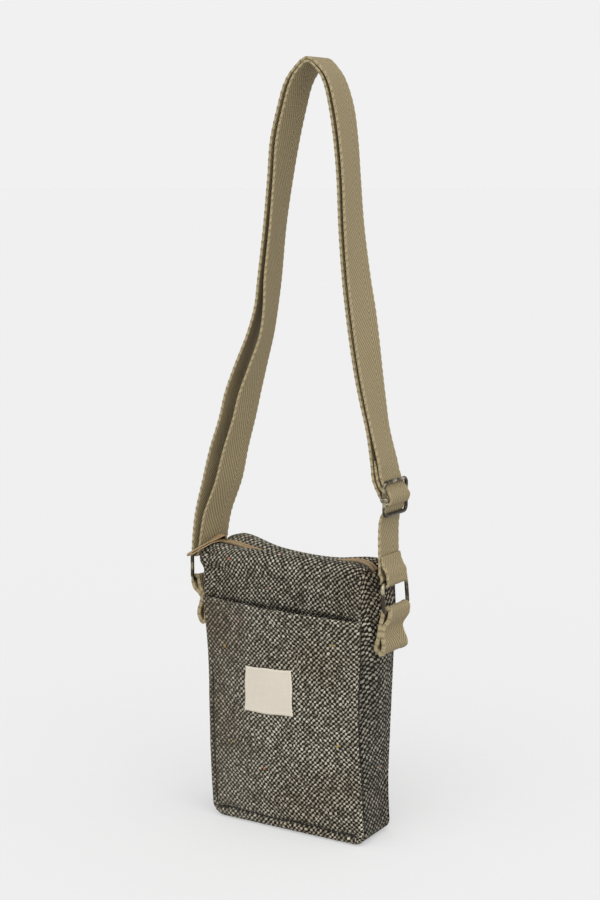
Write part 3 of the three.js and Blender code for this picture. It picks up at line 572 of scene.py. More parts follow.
def pocket_face(across, z):
    """Outer face of the pocket over the front panel, but for its rolled edges."""
    near = np.clip((z - smooth(pocket_top, "z", across)) / gape.deep + 1, 0, 1)
    opened = gape.out * near**2 * np.clip(1 - across**2, 0, 1) * (1 + gape.more_right * across)
    y = groove(across, z) - half_depth - pillow(across, z) - sew_gap - cloth - opened
    return xyz(across_x(across, z, y), y, z)


across, edge_depth, count = panel_columns(pocket_roll, pocket_thread)
opening = smooth(pocket_top, "z", across)
cloth_up = opening + roll_extra(hem_roll) + roll_extra(pocket_fold)
run_up = np.linspace(0, 1, 2 * pocket_threads_up + 1)[:, None] * cloth_up
from_bottom, bottom_depth = rolled(run_up, hem_roll)
from_top, top_depth = rolled(run_up[-1] - run_up, pocket_fold)
z = np.where(from_bottom < opening / 2, from_bottom, opening - from_top)
depth = np.maximum(np.maximum(bottom_depth, edge_depth), top_depth)
across, z = round_corner(np.broadcast_to(across, z.shape), z)
points = pocket_face(across, z)
points[..., 1] += depth
u, v = np.meshgrid(count, np.linspace(0, pocket_threads_up, run_up.shape[0]))
threads = woven(u, v, *pocket_skew)
pocket = cloth_piece("front_pocket_tweed", points, threads, cloth, weave_relief(*threads))
dress(pocket, tweed, "tweed", "front_pocket")

# Dark polyester thread: tightly twisted. The eye sees a near-black line with a faint gloss on each stitch.
dark_thread, add, shader = new_material("dark_polyester_thread")
object_place = add("TexCoord").outputs["Object"]
twist = add("TexNoise", {"Vector": object_place, "Scale": 1 / (0.6 * MM), "Detail": 2.0})
thread_colour = add("Mix", {0: twist, 6: "#080705", 7: "#191610"}, data_type="RGBA")
plug(shader, {"Base Color": thread_colour, "Roughness": 0.6})


def stitch_row(name, route, normals, stitch):
    """Stitches along a line of points on cloth: one stitch is shaped, then copied along the line."""
    piece = started(bpy.ops.mesh.primitive_uv_sphere_add, segments=6, ring_count=5, radius=1)
    piece.name = name
    shape = np.array([v.co for v in piece.data.vertices])
    sized = shape * (stitch.long, stitch.thick, stitch.thick) / 2
    faces = [tuple(p.vertices) for p in piece.data.polygons]
    route = route + normals * stitch.lift
    run = run_along(route)
    middles = np.arange(stitch.long, run[-1] - stitch.long / 2, stitch.long + stitch.gap)
    corners = []
    sides = []
    for k, middle in enumerate(middles):
        before, at, after = at_lengths(middle + np.array([-0.5, 0.0, 0.5]), run, route)
        ahead = unit(after - before)
        beside = unit(np.cross(at_lengths(middle, run, normals), ahead))
        lift = np.cross(ahead, beside)
        corners.append(at + sized[:, :1] * ahead + sized[:, 1:2] * beside + sized[:, 2:] * lift)
        sides.extend(tuple(c + k * len(sized) for c in face) for face in faces)
    mesh = bpy.data.meshes.new(name)
    mesh.from_pydata((np.concatenate(corners) * MM + np.array(base)).tolist(), [], sides)
    piece.data = mesh
    bpy.ops.object.shade_smooth()
    return piece


def pocket_line(across, z):
    """Points and outward normals along a line on the pocket."""
    point = pocket_face(across, z)
    step = 0.2
    right = pocket_face(across + step / half_width, z) - point
    up = pocket_face(across, z + step) - point
    return point, unit(np.cross(right, up))


stitch_steps = 90
hem_end = 0.95
seam_out = 0.2
seam_behind = 1.0
hem_across = np.linspace(-hem_end, hem_end, stitch_steps)
left_z = np.linspace(left_edge.end - left_edge.fade / 2, corner_radius, stitch_steps)
left_across = np.full(stitch_steps, left_edge.inset / half_width - 1)
seam_z = np.linspace(min(pocket_top["z"]) - 1, corner_radius, stitch_steps)
seam_x = side_x("right", seam_z, -half_depth) + seam_out
seam = xyz(seam_x, seam_behind - half_depth, seam_z)
hem_sewn = pocket_line(hem_across, hem_line(hem_across))
left_sewn = pocket_line(left_across, left_z)
seam_sewn = (seam, np.tile([0.7, -0.7, 0.0], (stitch_steps, 1)))
stitch_rows = {
    # The hem's stitches are thick and overlap into an unbroken dark line: partly real thread, partly painted
    # shade of the groove.
    "pocket_hem_stitches_and_groove_shade": (hem_sewn, Sizes(long=4.0, gap=-0.4, thick=2.0, lift=0.5)),
    "pocket_left_stitches": (left_sewn, Sizes(long=4.0, gap=-0.3, thick=1.2, lift=0.3)),
    "pocket_right_seam_stitches": (seam_sewn, Sizes(long=3.6, gap=0.2, thick=1.0, lift=0.0)),
}
for name, (sewn, stitch) in stitch_rows.items():
    dress(stitch_row(name, *sewn, stitch), dark_thread, "tweed")


# Label: a small patch of unbleached cotton. Its edges are turned under and sewn flat to the pocket,
# which draws a shallow groove inside its hem. It is bare.
label_at = Sizes(x=-10.4, z=95.4, width=37.5, height=30.8, thick=1.0, turn=math.radians(2.8))
label_hem = Sizes(wide=2.6, high=0.12, groove=0.06, ease=0.5)
label_edge = 0.6
label_columns = 101
label_rows = 83
label_sides = Sizes(flare=0.055, waver=0.016, pull=0.006, stitch=2.4, bow=0.0012)


def label_place(right, up):
    """Place on the pocket, as across and height, of a point on the label from its middle."""
    x = label_at.x + right * math.cos(label_at.turn) - up * math.sin(label_at.turn)
    z = label_at.z + right * math.sin(label_at.turn) + up * math.cos(label_at.turn)
    left = side_x("left", z, -half_depth)
    return 2 * (x - left) / (side_x("right", z, -half_depth) - left) - 1, z


# Unbleached cotton: a fine even weave, smoothed by washing. The eye sees cream with faint slubs and a
# mottle of rose and straw. Its threads are too fine to show, so they are drawn about twice as wide.
cotton, add, shader = new_material("unbleached_cotton")
threads_uv = add("UVMap", uv_map="UVMap")
warp_tone = yarn_tone(add, threads_uv, (1.3, 0.10, 1.0), 1.0)
weft_tone = yarn_tone(add, threads_uv, (0.10, 1.3, 1.0), 1.0)
crossed = add("Math", (warp_tone, weft_tone), operation="ADD")
label_plain = blended(add, crossed, 0.7, 1.3, ("#c2baab", "#cbc3b5"))
mottle = add("TexNoise", {"Vector": threads_uv, "Scale": 0.22, "Detail": 1.0})
label_rosy = blended(add, mottle, 0.5, 0.72, (label_plain, "#cbbbb2"), 0.35)
label_colour = blended(add, mottle, 0.5, 0.3, (label_rosy, "#c8c1a8"), 0.35)
weave_bump = add("Bump", {"Height": crossed, "Strength": 0.25, "Distance": 0.15 * MM})
plug(shader, {"Base Color": label_colour, "Roughness": 0.9, "Normal": weave_bump})

label_right = np.linspace(-1, 1, label_columns) * label_at.width / 2
label_up = np.linspace(-1, 1, label_rows) * label_at.height / 2
right, up = np.meshgrid(label_right, label_up)
rim = np.minimum(label_at.width / 2 - np.abs(right), label_at.height / 2 - np.abs(up))
edge_waver = 0.22 * np.sin(up / 2.1 + 1) + 0.15 * np.sin(right / 2.7)
pulled = label_sides.pull * np.sin(2 * math.pi * up / label_sides.stitch)
wavy_right = right * (1 + label_sides.waver * np.sin(up / 3.3 + 0.6) + pulled)
wavy_right += label_sides.flare * up / label_at.height * (label_at.width / 2 - right)
wavy_up = up * (1 + label_sides.waver * np.sin(right / 3.9 + 2.0)) + label_sides.bow * right**2
points = pocket_face(*label_place(wavy_right, wavy_up))
hem_height = label_hem.high / (1 + np.exp((rim - label_hem.wide + edge_waver) / label_hem.ease))
hem_height -= label_hem.groove * ridge(rim, label_hem.wide, label_hem.ease)
points[..., 1] -= sew_gap + label_at.thick + hem_height - rolled(rim, label_edge)[1]
label = cloth_piece("label_cotton", points, (right, up), label_at.thick)
dress(label, cotton, "label_cotton", "label")


# Zip: two woven tapes whose folded edges meet over a hidden nylon coil, so that it shows as a pair of
# smooth cords. The tapes are sewn under the rolled tops of the panels and run the length of the bag.
tape_grid = (np.linspace(-1, 1, 181), np.linspace(0, 1, 15))
tape_threads = (5.0, 60.0)
tape_dip = Sizes(start=0.92, deep=2.5)
cord_height = 1.8
cord_middle = 1.9


def zip_line(across):
    """Points along the middle of the zip."""
    z = smooth(top_edge, "zip", across)
    return xyz(across_x(across, z, 0.0), 0.0, z)


# Woven zip tape: a fine twill of polyester. The eye sees smooth tan cord with a soft gloss and fine ribs.
tape, add, shader = new_material("polyester_zip_tape")
threads_uv = add("UVMap", uv_map="UVMap")
rib = add("TexWave", {"Vector": threads_uv, "Scale": 0.35, "Distortion": 0.6, "Detail": 1.0},
          bands_direction="DIAGONAL").outputs["Fac"]
tape_tone = add("TexNoise", {"Vector": threads_uv, "Scale": 0.25, "Detail": 2.0})
tape_mixed = add("Mix", {0: tape_tone, 6: "#7d6747", 7: "#a58c66"}, data_type="RGBA")
tape_side = add("SeparateXYZ", (threads_uv,)).outputs[0]
tape_share = add("MapRange", {0: tape_side, 2: tape_threads[0]})
# Painted shade: dark lines along the middle where the cords meet and along the cords' outer sides, and a
# dimmer outer edge under the panels.
cord_shade_ramp = add("ValToRGB", (tape_share,))
cord_shade_ramp.color_ramp.elements[0].color = colour("#2a2115")
cord_shade_ramp.color_ramp.elements[1].color = colour("#8a7a62")
for stop, shade in ((0.18, "#ffffff"), (0.55, "#ffffff"), (0.74, "#3a2f1f")):
    cord_shade_ramp.color_ramp.elements.new(stop).color = colour(shade)
tape_with_painted_shade = add("Mix", {0: 1.0, 6: tape_mixed, 7: cord_shade_ramp}, data_type="RGBA", blend_type="MULTIPLY",
                 name="cords")
tape_bump = add("Bump", {"Height": rib, "Strength": 0.35, "Distance": 0.2 * MM})
plug(shader, {"Base Color": tape_with_painted_shade, "Roughness": 0.55, "Normal": tape_bump})

for face, side in ((-1, "front"), (1, "back")):
    run, out = np.meshgrid(*tape_grid, indexing="ij")
    points = zip_line(run)
    reach = sew_gap / 2 + out * (zip_half_width - sew_gap / 2)
    points[..., 1] = face * reach
    cord = np.sqrt(np.clip(1 - ((reach - cord_middle) / (cord_middle - sew_gap / 2))**2, 0, 1))
    dip = np.clip((run - tape_dip.start) / (1 - tape_dip.start), 0, 1)**2
    points[..., 2] += tape_thick / 2 + cord_height * cord - tape_dip.deep * dip
    if face > 0:
        points = points[:, ::-1]
        out = out[:, ::-1]
    counted = (out * tape_threads[0], run * tape_threads[1])
    piece = cloth_piece(f"zip_tape_{side}_woven", points, counted, tape_thick)
    dress(piece, tape, "zip_tape", f"zip_tape_{side}")

# Moulded nylon: the zip's coil. The eye sees its dull turns only through the gap between the tapes.
nylon, add, shader = new_material("moulded_nylon")
object_place = add("TexCoord").outputs["Object"]
turns = add("TexWave", {"Vector": object_place, "Scale": 1 / (6 * MM)}, bands_direction="X").outputs["Fac"]
nylon_colour = add("Mix", {0: turns, 6: "#5d4b31", 7: "#8f7650"}, data_type="RGBA")
plug(shader, {"Base Color": nylon_colour, "Roughness": 0.45})
coil = frame["nodes"]["zip_coil"]
coil.data.materials.clear()
coil.data.materials.append(nylon)


# Zip slider: a small cast body with a wire bail, both plated in dull antique brass. It sits on the
# tapes at the closed end of the zip, and its bail holds the puller.
slider_across = np.array([-0.94])
slider_size = (8.0, 8.0, 1.4)
slider_edge = 0.5
bail = Sizes(width=10.0, height=2.4, wire=1.2, corner=1.2, sunk=0.9, into_body=0.6)
puller_tip = Sizes(x=-73.2, y=-26.0, z=180.6)
slider_at = zip_line(slider_across)[0] + (0, 0, tape_thick / 2 + 2 * sew_gap)
pull_heading = math.atan2(puller_tip.y, puller_tip.x - slider_at[0])

# Antique brass: plated wire, darkened. The eye sees grey-brown metal with warm glints and a dull broken
# gloss.
# The dark base is partly painted reflection of darker surroundings; the light patches are partly rubbed wear,
# partly painted glints.
brass, add, shader = new_material("antique_brass")
object_place = add("TexCoord").outputs["Object"]
worn = add("TexNoise", {"Vector": object_place, "Scale": 1 / (9 * MM), "Detail": 3.0})
brass_wear_and_glints = blended(add, worn, 0.5, 0.64, ("#49433a", "#b9ae92"))
gloss = add("MapRange", {0: worn, 3: 0.14, 4: 0.32})
pits = add("TexNoise", {"Vector": object_place, "Scale": 1 / (0.5 * MM), "Detail": 2.0})
brass_bump = add("Bump", {"Height": pits, "Strength": 0.08, "Distance": 0.1 * MM})
plug(shader, {"Base Color": brass_wear_and_glints, "Metallic": 1.0, "Roughness": gloss, "Normal": brass_bump})


def spot(x, y, z):
    """A place in millimetres from the centre of the base, in metres in the bag's own frame."""
    return Vector((x, y, z)) * MM + base


def edited(operator, **settings):
    """Runs an edit-mode operator on the whole of the piece at hand."""
    bpy.ops.object.mode_set(mode="EDIT")
    bpy.ops.mesh.select_all(action="SELECT")
    operator(**settings)
    bpy.ops.object.mode_set(mode="OBJECT")


def wire_frame(name, width, height, corner, wire, at, yaw, lean=0.0):
    """Wire bent to a rounded rectangle that stands across the bag: a plane, its corners rounded, swept."""
    started(bpy.ops.mesh.primitive_plane_add, size=1)
    bpy.ops.transform.resize(value=(width * MM, height * MM, 1))
    bpy.ops.object.transform_apply(scale=True)
    edited(bpy.ops.mesh.bevel, offset=corner * MM, segments=8, affect="VERTICES")
    edited(bpy.ops.mesh.delete, type="ONLY_FACE")
    bpy.ops.object.convert(target="CURVE")
    frame_curve = bpy.context.object
    frame_curve.data.bevel_depth = wire / 2 * MM
    frame_curve.data.bevel_resolution = 4
    bpy.ops.object.convert(target="MESH")
    piece = bpy.context.object
    piece.rotation_euler = (math.pi / 2 - lean, 0, math.pi / 2 - yaw)
    piece.location = at
    settle(piece, name)
    bpy.ops.object.shade_smooth()
    return piece


def joined(pieces):
    """Joins shaped pieces into the first of them."""
    bpy.ops.object.select_all(action="DESELECT")
    for piece in pieces:
        piece.select_set(True)
    bpy.context.view_layer.objects.active = pieces[0]
    bpy.ops.object.join()
    return bpy.context.object


body_middle = spot(*slider_at) + Vector((0, 0, slider_size[2] / 2 * MM))
body = started(bpy.ops.mesh.primitive_cube_add, size=1, location=body_middle)
body.scale = Vector(slider_size) * MM
settle(body, "zip_slider_cast")
edited(bpy.ops.mesh.bevel, offset=slider_edge * MM, segments=3, affect="EDGES")
bail_middle = spot(*slider_at) + Vector((0, 0, (slider_size[2] + bail.height / 2 - bail.sunk) * MM))
loop = wire_frame("bail", bail.width - bail.wire, bail.height + bail.into_body, bail.corner,
                  bail.wire, bail_middle, -pull_heading)
slider = joined([body, loop])
dress(slider, brass, "antique_brass", "zip_slider")


# Webbing: flat woven cotton, cut to length and sewn in loops. A piece of it follows a smooth curve
# through points of (x, twist, z), as a strip that turns with the twist and has thicker selvedges.
selvedge_pitch = 4.8
weft_turn = 0.25
edge_round = 0.28
cut_end = Sizes(long=5.0, thin=0.2)
span_steps = 40
arc_step = 30
web_columns = np.array([-1, -0.93, -0.75, -0.45, -0.15, 0.15, 0.45, 0.75, 0.93, 1])
in_selvedge = np.array([1, 0.5, 0, 0, 0, 0, 0, 0, 0.5, 1])


def through(points, is_loop, step):
    """Centripetal curve through points, at even steps."""
    points = np.array(points, float)
    if is_loop:
        before, after = points[-1:], points[:2]
    else:
        before, after = 2 * points[:1] - points[1:2], 2 * points[-1:] - points[-2:-1]
    padded = np.concatenate([before, points, after])
    t = np.arange(span_steps)[:, None] / span_steps
    fine = []
    for p0, p1, p2, p3 in zip(padded, padded[1:], padded[2:], padded[3:]):
        d0, d1, d2 = (max(np.linalg.norm(b - a)**0.5, 1e-3) for a, b in ((p0, p1), (p1, p2), (p2, p3)))
        m1 = ((p1 - p0) / d0 - (p2 - p0) / (d0 + d1) + (p2 - p1) / d1) * d1
        m2 = ((p2 - p1) / d1 - (p3 - p1) / (d1 + d2) + (p3 - p2) / d2) * d1
        fine.append(hermite(t, p1, m1, p2, m2))
    fine = np.concatenate([*fine, padded[-2:-1]])
    run = run_along(fine[:, [0, 2]])
    even = np.linspace(0, run[-1], max(int(round(run[-1] / step)), 8) + 1)
    return at_lengths(even, run, fine), even


def webbing_piece(name, route, is_loop, width, thick, scallop=0.0, corded=0.0, step=0.8, shape=None):
    """Webbing along a route, with thicker selvedges that are drawn in between the turns of the weft."""
    line, run = through(route, is_loop, step)
    x, twist, z = line.T
    middle = xyz(x, 0.0, z)
    across = xyz(np.sin(twist), np.cos(twist), 0.0)
    drawn_in = scallop * np.abs(run / selvedge_pitch % 1 - weft_turn) / (1 - weft_turn)
    half = width / 2 - drawn_in[:, None] * in_selvedge
    points = middle[:, None] + across[:, None] * (web_columns * half)[..., None]
    if shape:
        points = shape(points)
    piece = cloth_piece(name, points, np.meshgrid(web_columns * width / 2, run), 0)
    fullness = piece.vertex_groups.new(name="fullness")
    weight = np.where(in_selvedge > 0, 1, thick / (thick + corded))
    from_end = np.minimum(run, run[-1] - run)
    kept = cut_end.thin + (1 - cut_end.thin) * from_end / cut_end.long
    thinned = np.ones(len(run)) if is_loop else np.clip(kept, 0, 1)
    for place, part in enumerate(np.outer(thinned, weight).ravel()):
        fullness.add([place], part, "REPLACE")
    if is_loop:
        edited(bpy.ops.mesh.remove_doubles, threshold=0.05 * MM)
    modified(piece, "SOLIDIFY", thickness=(thick + corded) * MM, offset=0, vertex_group=fullness.name)
    piece.vertex_groups.clear()
    edge_angle = math.radians(60)
    modified(piece, "BEVEL", width=edge_round * thick * MM, segments=2, limit_method="ANGLE",
             angle_limit=edge_angle)
    bpy.ops.object.shade_smooth_by_angle(angle=edge_angle)
    return piece


def around(x, z, radius, first, last, twist=0.0):
    """Points on an arc about a wire, by angles in degrees from +X towards +Z."""
    count = round(abs(last - first) / arc_step)
    angles = np.radians(np.linspace(first, last, count + 1))
    return [(x + radius * math.cos(a), twist, z + radius * math.sin(a)) for a in angles]


# Puller: a doubled tan ribbon, looped through the slider's bail and sewn together at its free tip,
# which has rolled on its side.
puller = Sizes(width=5.5, ply=0.8, gap=0.5, droop=1.25, roll=math.radians(23))
bail_at = slider_at + (0, 0, slider_size[2] + bail.height - bail.wire / 2)
reach = math.hypot(puller_tip.x - bail_at[0], puller_tip.y)
drop = puller_tip.z - bail_at[2]
apart = (puller.ply + puller.gap) / 2
shares = (0.3, 0.55, 0.8, 0.96)


def puller_ply(share, side):
    """Point on one ply of the puller at a share of the way to its tip."""
    slope = math.atan2(drop * puller.droop * share**(puller.droop - 1), reach)
    x = reach * share - side * apart * math.sin(slope)
    return x, 0.0, drop * share**puller.droop + side * apart * math.cos(slope)


def hung_puller(points):
    """Rolls the puller towards its tip, and turns it to hang from the bail."""
    share = np.clip(points[..., 0] / reach, 0, 1)
    ease = np.clip(share / shares[1], 0, 1)
    angle = puller.roll * ease**2 * (3 - 2 * ease)
    middle = drop * share**puller.droop
    up = points[..., 2] - middle
    side = points[..., 1] * np.cos(angle) - up * np.sin(angle)
    z = middle + points[..., 1] * np.sin(angle) + up * np.cos(angle)
    x = points[..., 0] * math.cos(pull_heading) - side * math.sin(pull_heading)
    y = points[..., 0] * math.sin(pull_heading) + side * math.cos(pull_heading)
    return xyz(x, y, z) + bail_at


loop_radius = bail.wire * math.sqrt(0.5) + sew_gap + puller.ply / 2
route = [
    *around(0, 0, loop_radius, 90, 270),
    *[puller_ply(share, -1) for share in shares],
    (reach, 0.0, drop),
    *[puller_ply(share, 1) for share in shares[::-1]],
]
ribbon_tape = tape.copy()
ribbon_tape.name = "polyester_ribbon"
# The ribbon takes none of the tape's painted shade.
plug(ribbon_tape.node_tree.nodes["cords"], (0.0,))
ribbon = webbing_piece("zip_puller_ribbon", route, True, puller.width, puller.ply, step=0.6,
                       shape=hung_puller)
dress(ribbon, ribbon_tape, "zip_tape", "zip_puller")


# Rings: two frames of bent wire, plated as the slider is, that join the strap to the tabs. Webbing is
# wrapped round their upper and lower bars, and the left one is turned with its strap.
ring = Sizes(height=19.0, corner=3.5, wire=2.6)
ring_places = {
    "left": Sizes(x=-75.0, z=170.0, yaw=math.radians(14), lean=0.0, width=30.0),
    "right": Sizes(x=70.4, z=166.3, yaw=0.0, lean=0.8, width=31.5),
}
for side, place in ring_places.items():
    piece = wire_frame(f"ring_{side}_wire", place.width, ring.height, ring.corner, ring.wire,
                       spot(place.x, 0, place.z), place.yaw, 2 * place.lean / ring.height)
    dress(piece, brass, "antique_brass", f"ring_{side}")


# Tabs: short loops of the strap's webbing round the rings' lower bars, pinched and sewn to the gusset
# at a waist, so that each opens again below it.
web_width = 25.0
web = 1.8
wrap_gap = 0.25
wrap = ring.wire / 2 + wrap_gap + web / 2
tab_scallop = 0.12
tab_corded = 0.9
tab_rows = {
    "left": {
        "z": (155, 151.5, 148.5, 144, 138.5, 133.5),
        "inner": (72.0, 70.4, 69.8, 69.6, 69.6, 69.8),
        "outer": (77.0, 73.6, 72.2, 73.6, 75.2, 74.2),
        "twist": (9, 5, 2, 0, 0, 0),
    },
    "right": {
        "z": (152, 147.5, 144, 140, 135, 131.5),
        "inner": (67.8, 66.6, 66.1, 65.9, 65.3, 65.0),
        "outer": (72.8, 69.8, 68.4, 68.8, 70.4, 70.4),
        "twist": (0, 0, 0, 2, 6, 8),
    },
}

# Cotton webbing: a herringbone twill with corded edges. The eye sees khaki chevrons that meet on a
# line off the middle, tan selvedges twisted like rope, and a dull dry surface. Its twill is finer
# than the render shows, so its lines are drawn about twice as wide.
cotton_webbing, add, shader = new_material("cotton_webbing")
threads_uv = add("UVMap", uv_map="UVMap")
split = add("SeparateXYZ", (threads_uv,))
spine = 4.75
twill_steepness = 1.79
twill_pitch = 3.9
from_spine = add("Math", (split.outputs[0], spine), operation="SUBTRACT")
arm = add("Math", (from_spine,), operation="ABSOLUTE")
slant = add("Math", (arm, -twill_steepness, split.outputs[1]), operation="MULTIPLY_ADD")
yarn_noise = add("TexNoise", {"Vector": threads_uv, "Scale": 1.3, "Detail": 3.0})
uneven = add("Math", (yarn_noise, 1.0, slant), operation="MULTIPLY_ADD")
phase = add("Math", (uneven, 2 * math.pi / twill_pitch), operation="MULTIPLY")
rib = add("Math", (phase,), operation="SINE")
rib_colour = blended(add, rib, -0.8, 0.7, ("#6f6247", "#968765"), interpolation_type="SMOOTHSTEP")
dusty = blended(add, yarn_noise, 0.4, 0.7, (rib_colour, "#918566"), 0.4)
from_middle = add("Math", (split.outputs[0],), operation="ABSOLUTE")
rope_slant = add("Math", (from_middle, 1.6, split.outputs[1]), operation="MULTIPLY_ADD")
rope_phase = add("Math", (rope_slant, 2 * math.pi / selvedge_pitch), operation="MULTIPLY")
rope = add("Math", (rope_phase,), operation="COSINE")
rope_colour = blended(add, rope, -1.0, -0.3, ("#7d7053", "#9c8e6c"), interpolation_type="SMOOTHSTEP")
web_colour = blended(add, from_middle, 11.2, 11.6, (dusty, rope_colour))
web_height = add("Math", (yarn_noise, 0.7, rib), operation="MULTIPLY_ADD")
web_bump = add("Bump", {"Height": web_height, "Strength": 0.45, "Distance": 0.3 * MM})
plug(shader, {"Base Color": web_colour, "Roughness": 0.9, "Normal": web_bump})

for side, rows in tab_rows.items():
    place = ring_places[side]
    sign = outward[side]
    inner, outer = (
        [(sign * x, math.radians(t), z) for x, t, z in zip(rows[ply], rows["twist"], rows["z"])]
        for ply in ("inner", "outer"))
    low_inner, low_outer = rows["inner"][-1], rows["outer"][-1]
    lowest = (sign * (low_inner + low_outer) / 2, 0.0, rows["z"][-1] - (low_outer - low_inner) / 2)
    bar_x = place.x + place.lean
    bar_z = place.z - ring.height / 2
    over_bar = around(bar_x, bar_z, wrap, 90 - sign * 90, 90 + sign * 90, place.yaw)
    route = [*over_bar, *inner, lowest, *outer[::-1]]
    piece = webbing_piece(f"tab_{side}_webbing", route, True, web_width, web, tab_scallop, tab_corded)
    dress(piece, cotton_webbing, "webbing", f"tab_{side}")


# Adjuster: a frame of plated wire on the strap, and a bar across it whose ends are bent round the
# frame's sides. The strap's end is sewn round the bar, and its outer ply runs over that.
adjuster = Sizes(x=70.0, z=230.0, width=28.6, height=21.5, corner=3.5, wire=2.5, inset=1.2)
bar_eye = Sizes(clear=0.55, wire=0.62, tall=2.1)
adjuster_at = spot(adjuster.x, 0, adjuster.z)
piece = wire_frame("adjuster_frame_wire", adjuster.width, adjuster.height, adjuster.corner,
                   adjuster.wire, adjuster_at, 0.0)
dress(piece, brass, "antique_brass", "adjuster_frame")
eye_radius = adjuster.wire / 2 + sew_gap + bar_eye.clear
bar = started(
    bpy.ops.mesh.primitive_cylinder_add, vertices=24, radius=adjuster.wire / 2 * MM,
    depth=(adjuster.width - 2 * eye_radius) * MM, rotation=(math.pi / 2, 0, 0),
    location=adjuster_at - Vector((adjuster.inset * MM, 0, 0)))
bar_pieces = [bar]
for side in (-1, 1):
    eye = started(
        bpy.ops.mesh.primitive_torus_add, major_radius=eye_radius * MM, minor_radius=bar_eye.wire * MM,
        major_segments=32, minor_segments=12,
        location=adjuster_at + Vector((0, side * adjuster.width / 2 * MM, 0)))
    eye.scale = (1, 1, bar_eye.tall)
    bar_pieces.append(eye)
bar = joined(bar_pieces)
settle(bar, "adjuster_bar_wire")
bpy.ops.object.shade_smooth_by_angle(angle=math.radians(40))
dress(bar, brass, "antique_brass", "adjuster_bar")


# Strap: one length of the webbing. It is sewn round the right ring, goes through the adjuster and over
# the top as the outer ply, round the left ring, and back over the top to the adjuster's bar.
strap_web = 1.6
strap_scallop = 0.5
strap_sides = {
    "z": (204, 229, 252, 272, 290, 308, 330, 348, 366, 400, 430, 455, 475, 490, 497.5),
    "left": (
        -68.2, -58.4, -52.2, -45.7, -40.8, -34.6, -27.2, -24.2, -22.5, -18.6, -14.6, -10.9, -5.8, -1.0, 3.7),
    "left_apart": (6.8, 10.4, 10.8, 10.8, 11.0, 11.2, 10.0, 6.8, 5.0, 4.5, 4.2, 4.1, 4.0, 3.8, 3.2),
    "left_twist": (14, 12, 8, 4, 2, -5, -12, -11, -7, -8, -3, 4, 4, 3, 3),
    "right": (66.6, 66.6, 64.2, 58.7, 55.0, 51.7, 48.3, 45.6, 42.7, 38.7, 36.6, 34.3, 31.0, 26.3, 21.7),
    "right_apart": (0, 0, 5.4, 3.4, 3.6, 3.7, 3.7, 3.7, 3.7, 3.8, 3.8, 3.8, 3.7, 3.5, 3.4),
    "right_twist": (0, 0, -2, -3, 1, 5, 8, 8, 5, -1, -4, -3, -2, -4, -4),
}
strap_top = Sizes(x=11.0, z=505.5, apart=2.0)
ring_end = Sizes(x=65.4, z=192.5)
ring_flap = {"down": (0, 6, 11), "inside": (0, 0.2, 0.4), "apart": (1.6, 2.6, 5.4)}
frame_pass = Sizes(outside_x=-4.0, outside=3.0, inside_x=-1.3, inside=2.8)
bar_tail = {"x": (-5.2, -7.0, -8.6), "z": (8.55, 14.75, 24.0)}
bar_entry = Sizes(x=-9.2, z=10.75, first=190, last=400)

flap = list(zip(*ring_flap.values()))
outer_flap = [(ring_end.x + inside + gap, 0.0, ring_end.z - down) for down, inside, gap in flap]
inner_flap = [(ring_end.x + inside, 0.0, ring_end.z - down) for down, inside, gap in flap]
post = adjuster.height / 2
bar_x = adjuster.x - adjuster.inset
bar_wrap = adjuster.wire / 2 + wrap_gap + web / 2
ply_clear = 0.15
over_wrap = bar_wrap + web + wrap_gap + ply_clear


def frame_side(side):
    """Strap past a cross bar of the adjuster's frame, outside it and then inside it."""
    outside_z = adjuster.z + side * (post + frame_pass.outside)
    inside_z = adjuster.z + side * (post - frame_pass.inside)
    outside = (adjuster.x + frame_pass.outside_x, 0.0, outside_z)
    return outside, (adjuster.x + frame_pass.inside_x, 0.0, inside_z)


levels = list(zip(*strap_sides.values()))
outer_left = [(left - gap, math.radians(t), z) for z, left, gap, t, _, _, _ in levels]
inner_left = [(left, math.radians(t), z) for z, left, _, t, _, _, _ in levels]
rising = [level for level in levels if level[5] > 0]
outer_right = [(right, math.radians(t), z) for z, _, _, _, right, _, t in rising]
inner_right = [(right - gap, math.radians(t), z) for z, _, _, _, right, gap, t in rising]
left_ring = ring_places["left"]
right_ring = ring_places["right"]
ring_top = ring.height / 2
route = [
    *outer_flap,
    *around(right_ring.x - right_ring.lean, right_ring.z + ring_top, wrap, 30, -210),
    *inner_flap[::-1],
    *frame_side(-1),
    *around(bar_x, adjuster.z, over_wrap, -80, 40),
    *frame_side(1)[::-1],
    *outer_right,
    (strap_top.x, 0.0, strap_top.z),
    *outer_left[::-1],
    *around(left_ring.x, left_ring.z + ring_top, wrap, 180, 360, left_ring.yaw),
    *inner_left,
    (strap_top.x, 0.0, strap_top.z - strap_top.apart),
    *inner_right[::-1],
    (adjuster.x + bar_entry.x, 0.0, adjuster.z + bar_entry.z),
    *around(bar_x, adjuster.z, bar_wrap, bar_entry.first, bar_entry.last),
    *[(adjuster.x + x, 0.0, adjuster.z + z) for x, z in zip(*bar_tail.values())],
]
strap = webbing_piece("strap_webbing", route, False, web_width, strap_web, strap_scallop)
dress(strap, cotton_webbing, "webbing", "strap")


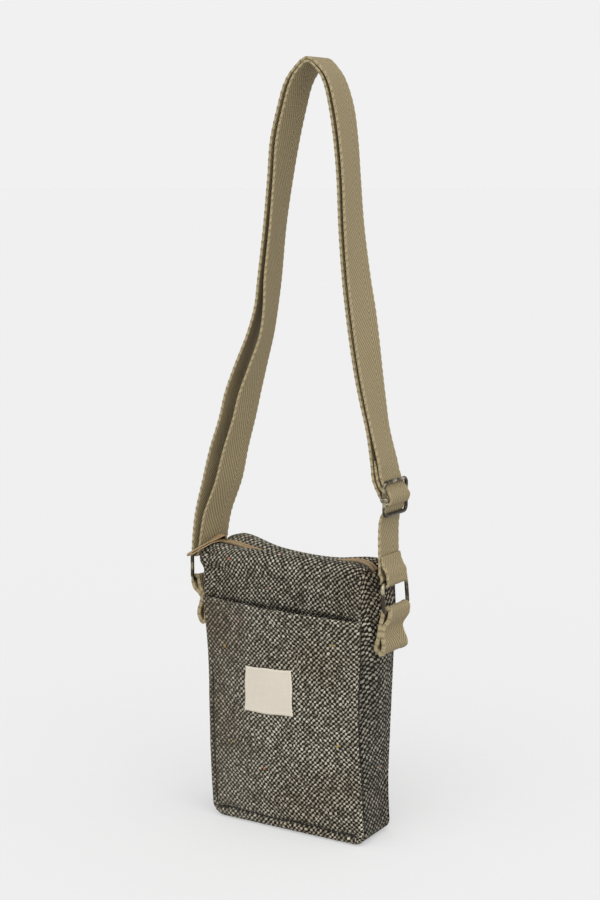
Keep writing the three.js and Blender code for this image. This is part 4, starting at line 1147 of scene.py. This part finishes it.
# Floor, light and camera: a plain pale floor under soft light from high at the bag's right front, where
# the camera stands. The floor is as bright as the light behind it, so no edge shows between them.
pale = "#f1f1f1"
floor_radius = 40.0
floor_drop = 0.4
floor_paper, add, shader = new_material("pale_paper")
object_place = add("TexCoord").outputs["Object"]
grain = add("TexNoise", {"Vector": object_place, "Scale": 1 / (4 * MM), "Detail": 2.0})
paper_colour = add("Mix", {0: grain, 6: "#a2a2a2", 7: "#a5a5a5"}, data_type="RGBA")
plug(shader, {
    "Base Color": paper_colour, "Roughness": 1.0, "Specular IOR Level": 0.0,
    "Emission Color": pale, "Emission Strength": 0.45,
})
floor = started(bpy.ops.mesh.primitive_circle_add, vertices=64, radius=floor_radius, fill_type="NGON",
                location=base - Vector((0, 0, floor_drop * MM)))
settle(floor, "floor")
floor.data.materials.append(floor_paper)

world = bpy.data.worlds.new("studio")
world.use_nodes = True
add = partial(node, world.node_tree)
direction = add("TexCoord").outputs["Generated"]
lamp_way = Vector((0.5, -0.62, 0.66)).normalized()
facing = add("VectorMath", (direction, lamp_way), operation="DOT_PRODUCT")
softbox = add("MapRange", (facing, 0.3, 0.95), interpolation_type="SMOOTHSTEP")
height = add("SeparateXYZ", (direction,)).outputs[2]
above = add("MapRange", (height, 0.1, 0.35), interpolation_type="SMOOTHSTEP")
glow = add("Math", (softbox, 2.0, -0.3), operation="MULTIPLY_ADD")
strength = add("Math", (glow, above, 1.0), operation="MULTIPLY_ADD")
plug(world.node_tree.nodes["Background"], (pale, strength))
bpy.context.scene.world = world
bpy.context.scene.view_settings.view_transform = "Standard"

view_turn = math.radians(32)
view_pitch = math.radians(8.9)
camera = bpy.data.objects.new("camera", bpy.data.cameras.new("camera"))
camera.data.lens = 72
camera.data.sensor_width = 36
camera.location = spot(617, -990, 437)
level = math.cos(view_pitch)
ahead = Vector((-math.sin(view_turn) * level, math.cos(view_turn) * level, -math.sin(view_pitch)))
camera.rotation_euler = ahead.to_track_quat("-Z", "Y").to_euler()
bpy.context.scene.collection.objects.link(camera)
bpy.context.scene.camera = camera
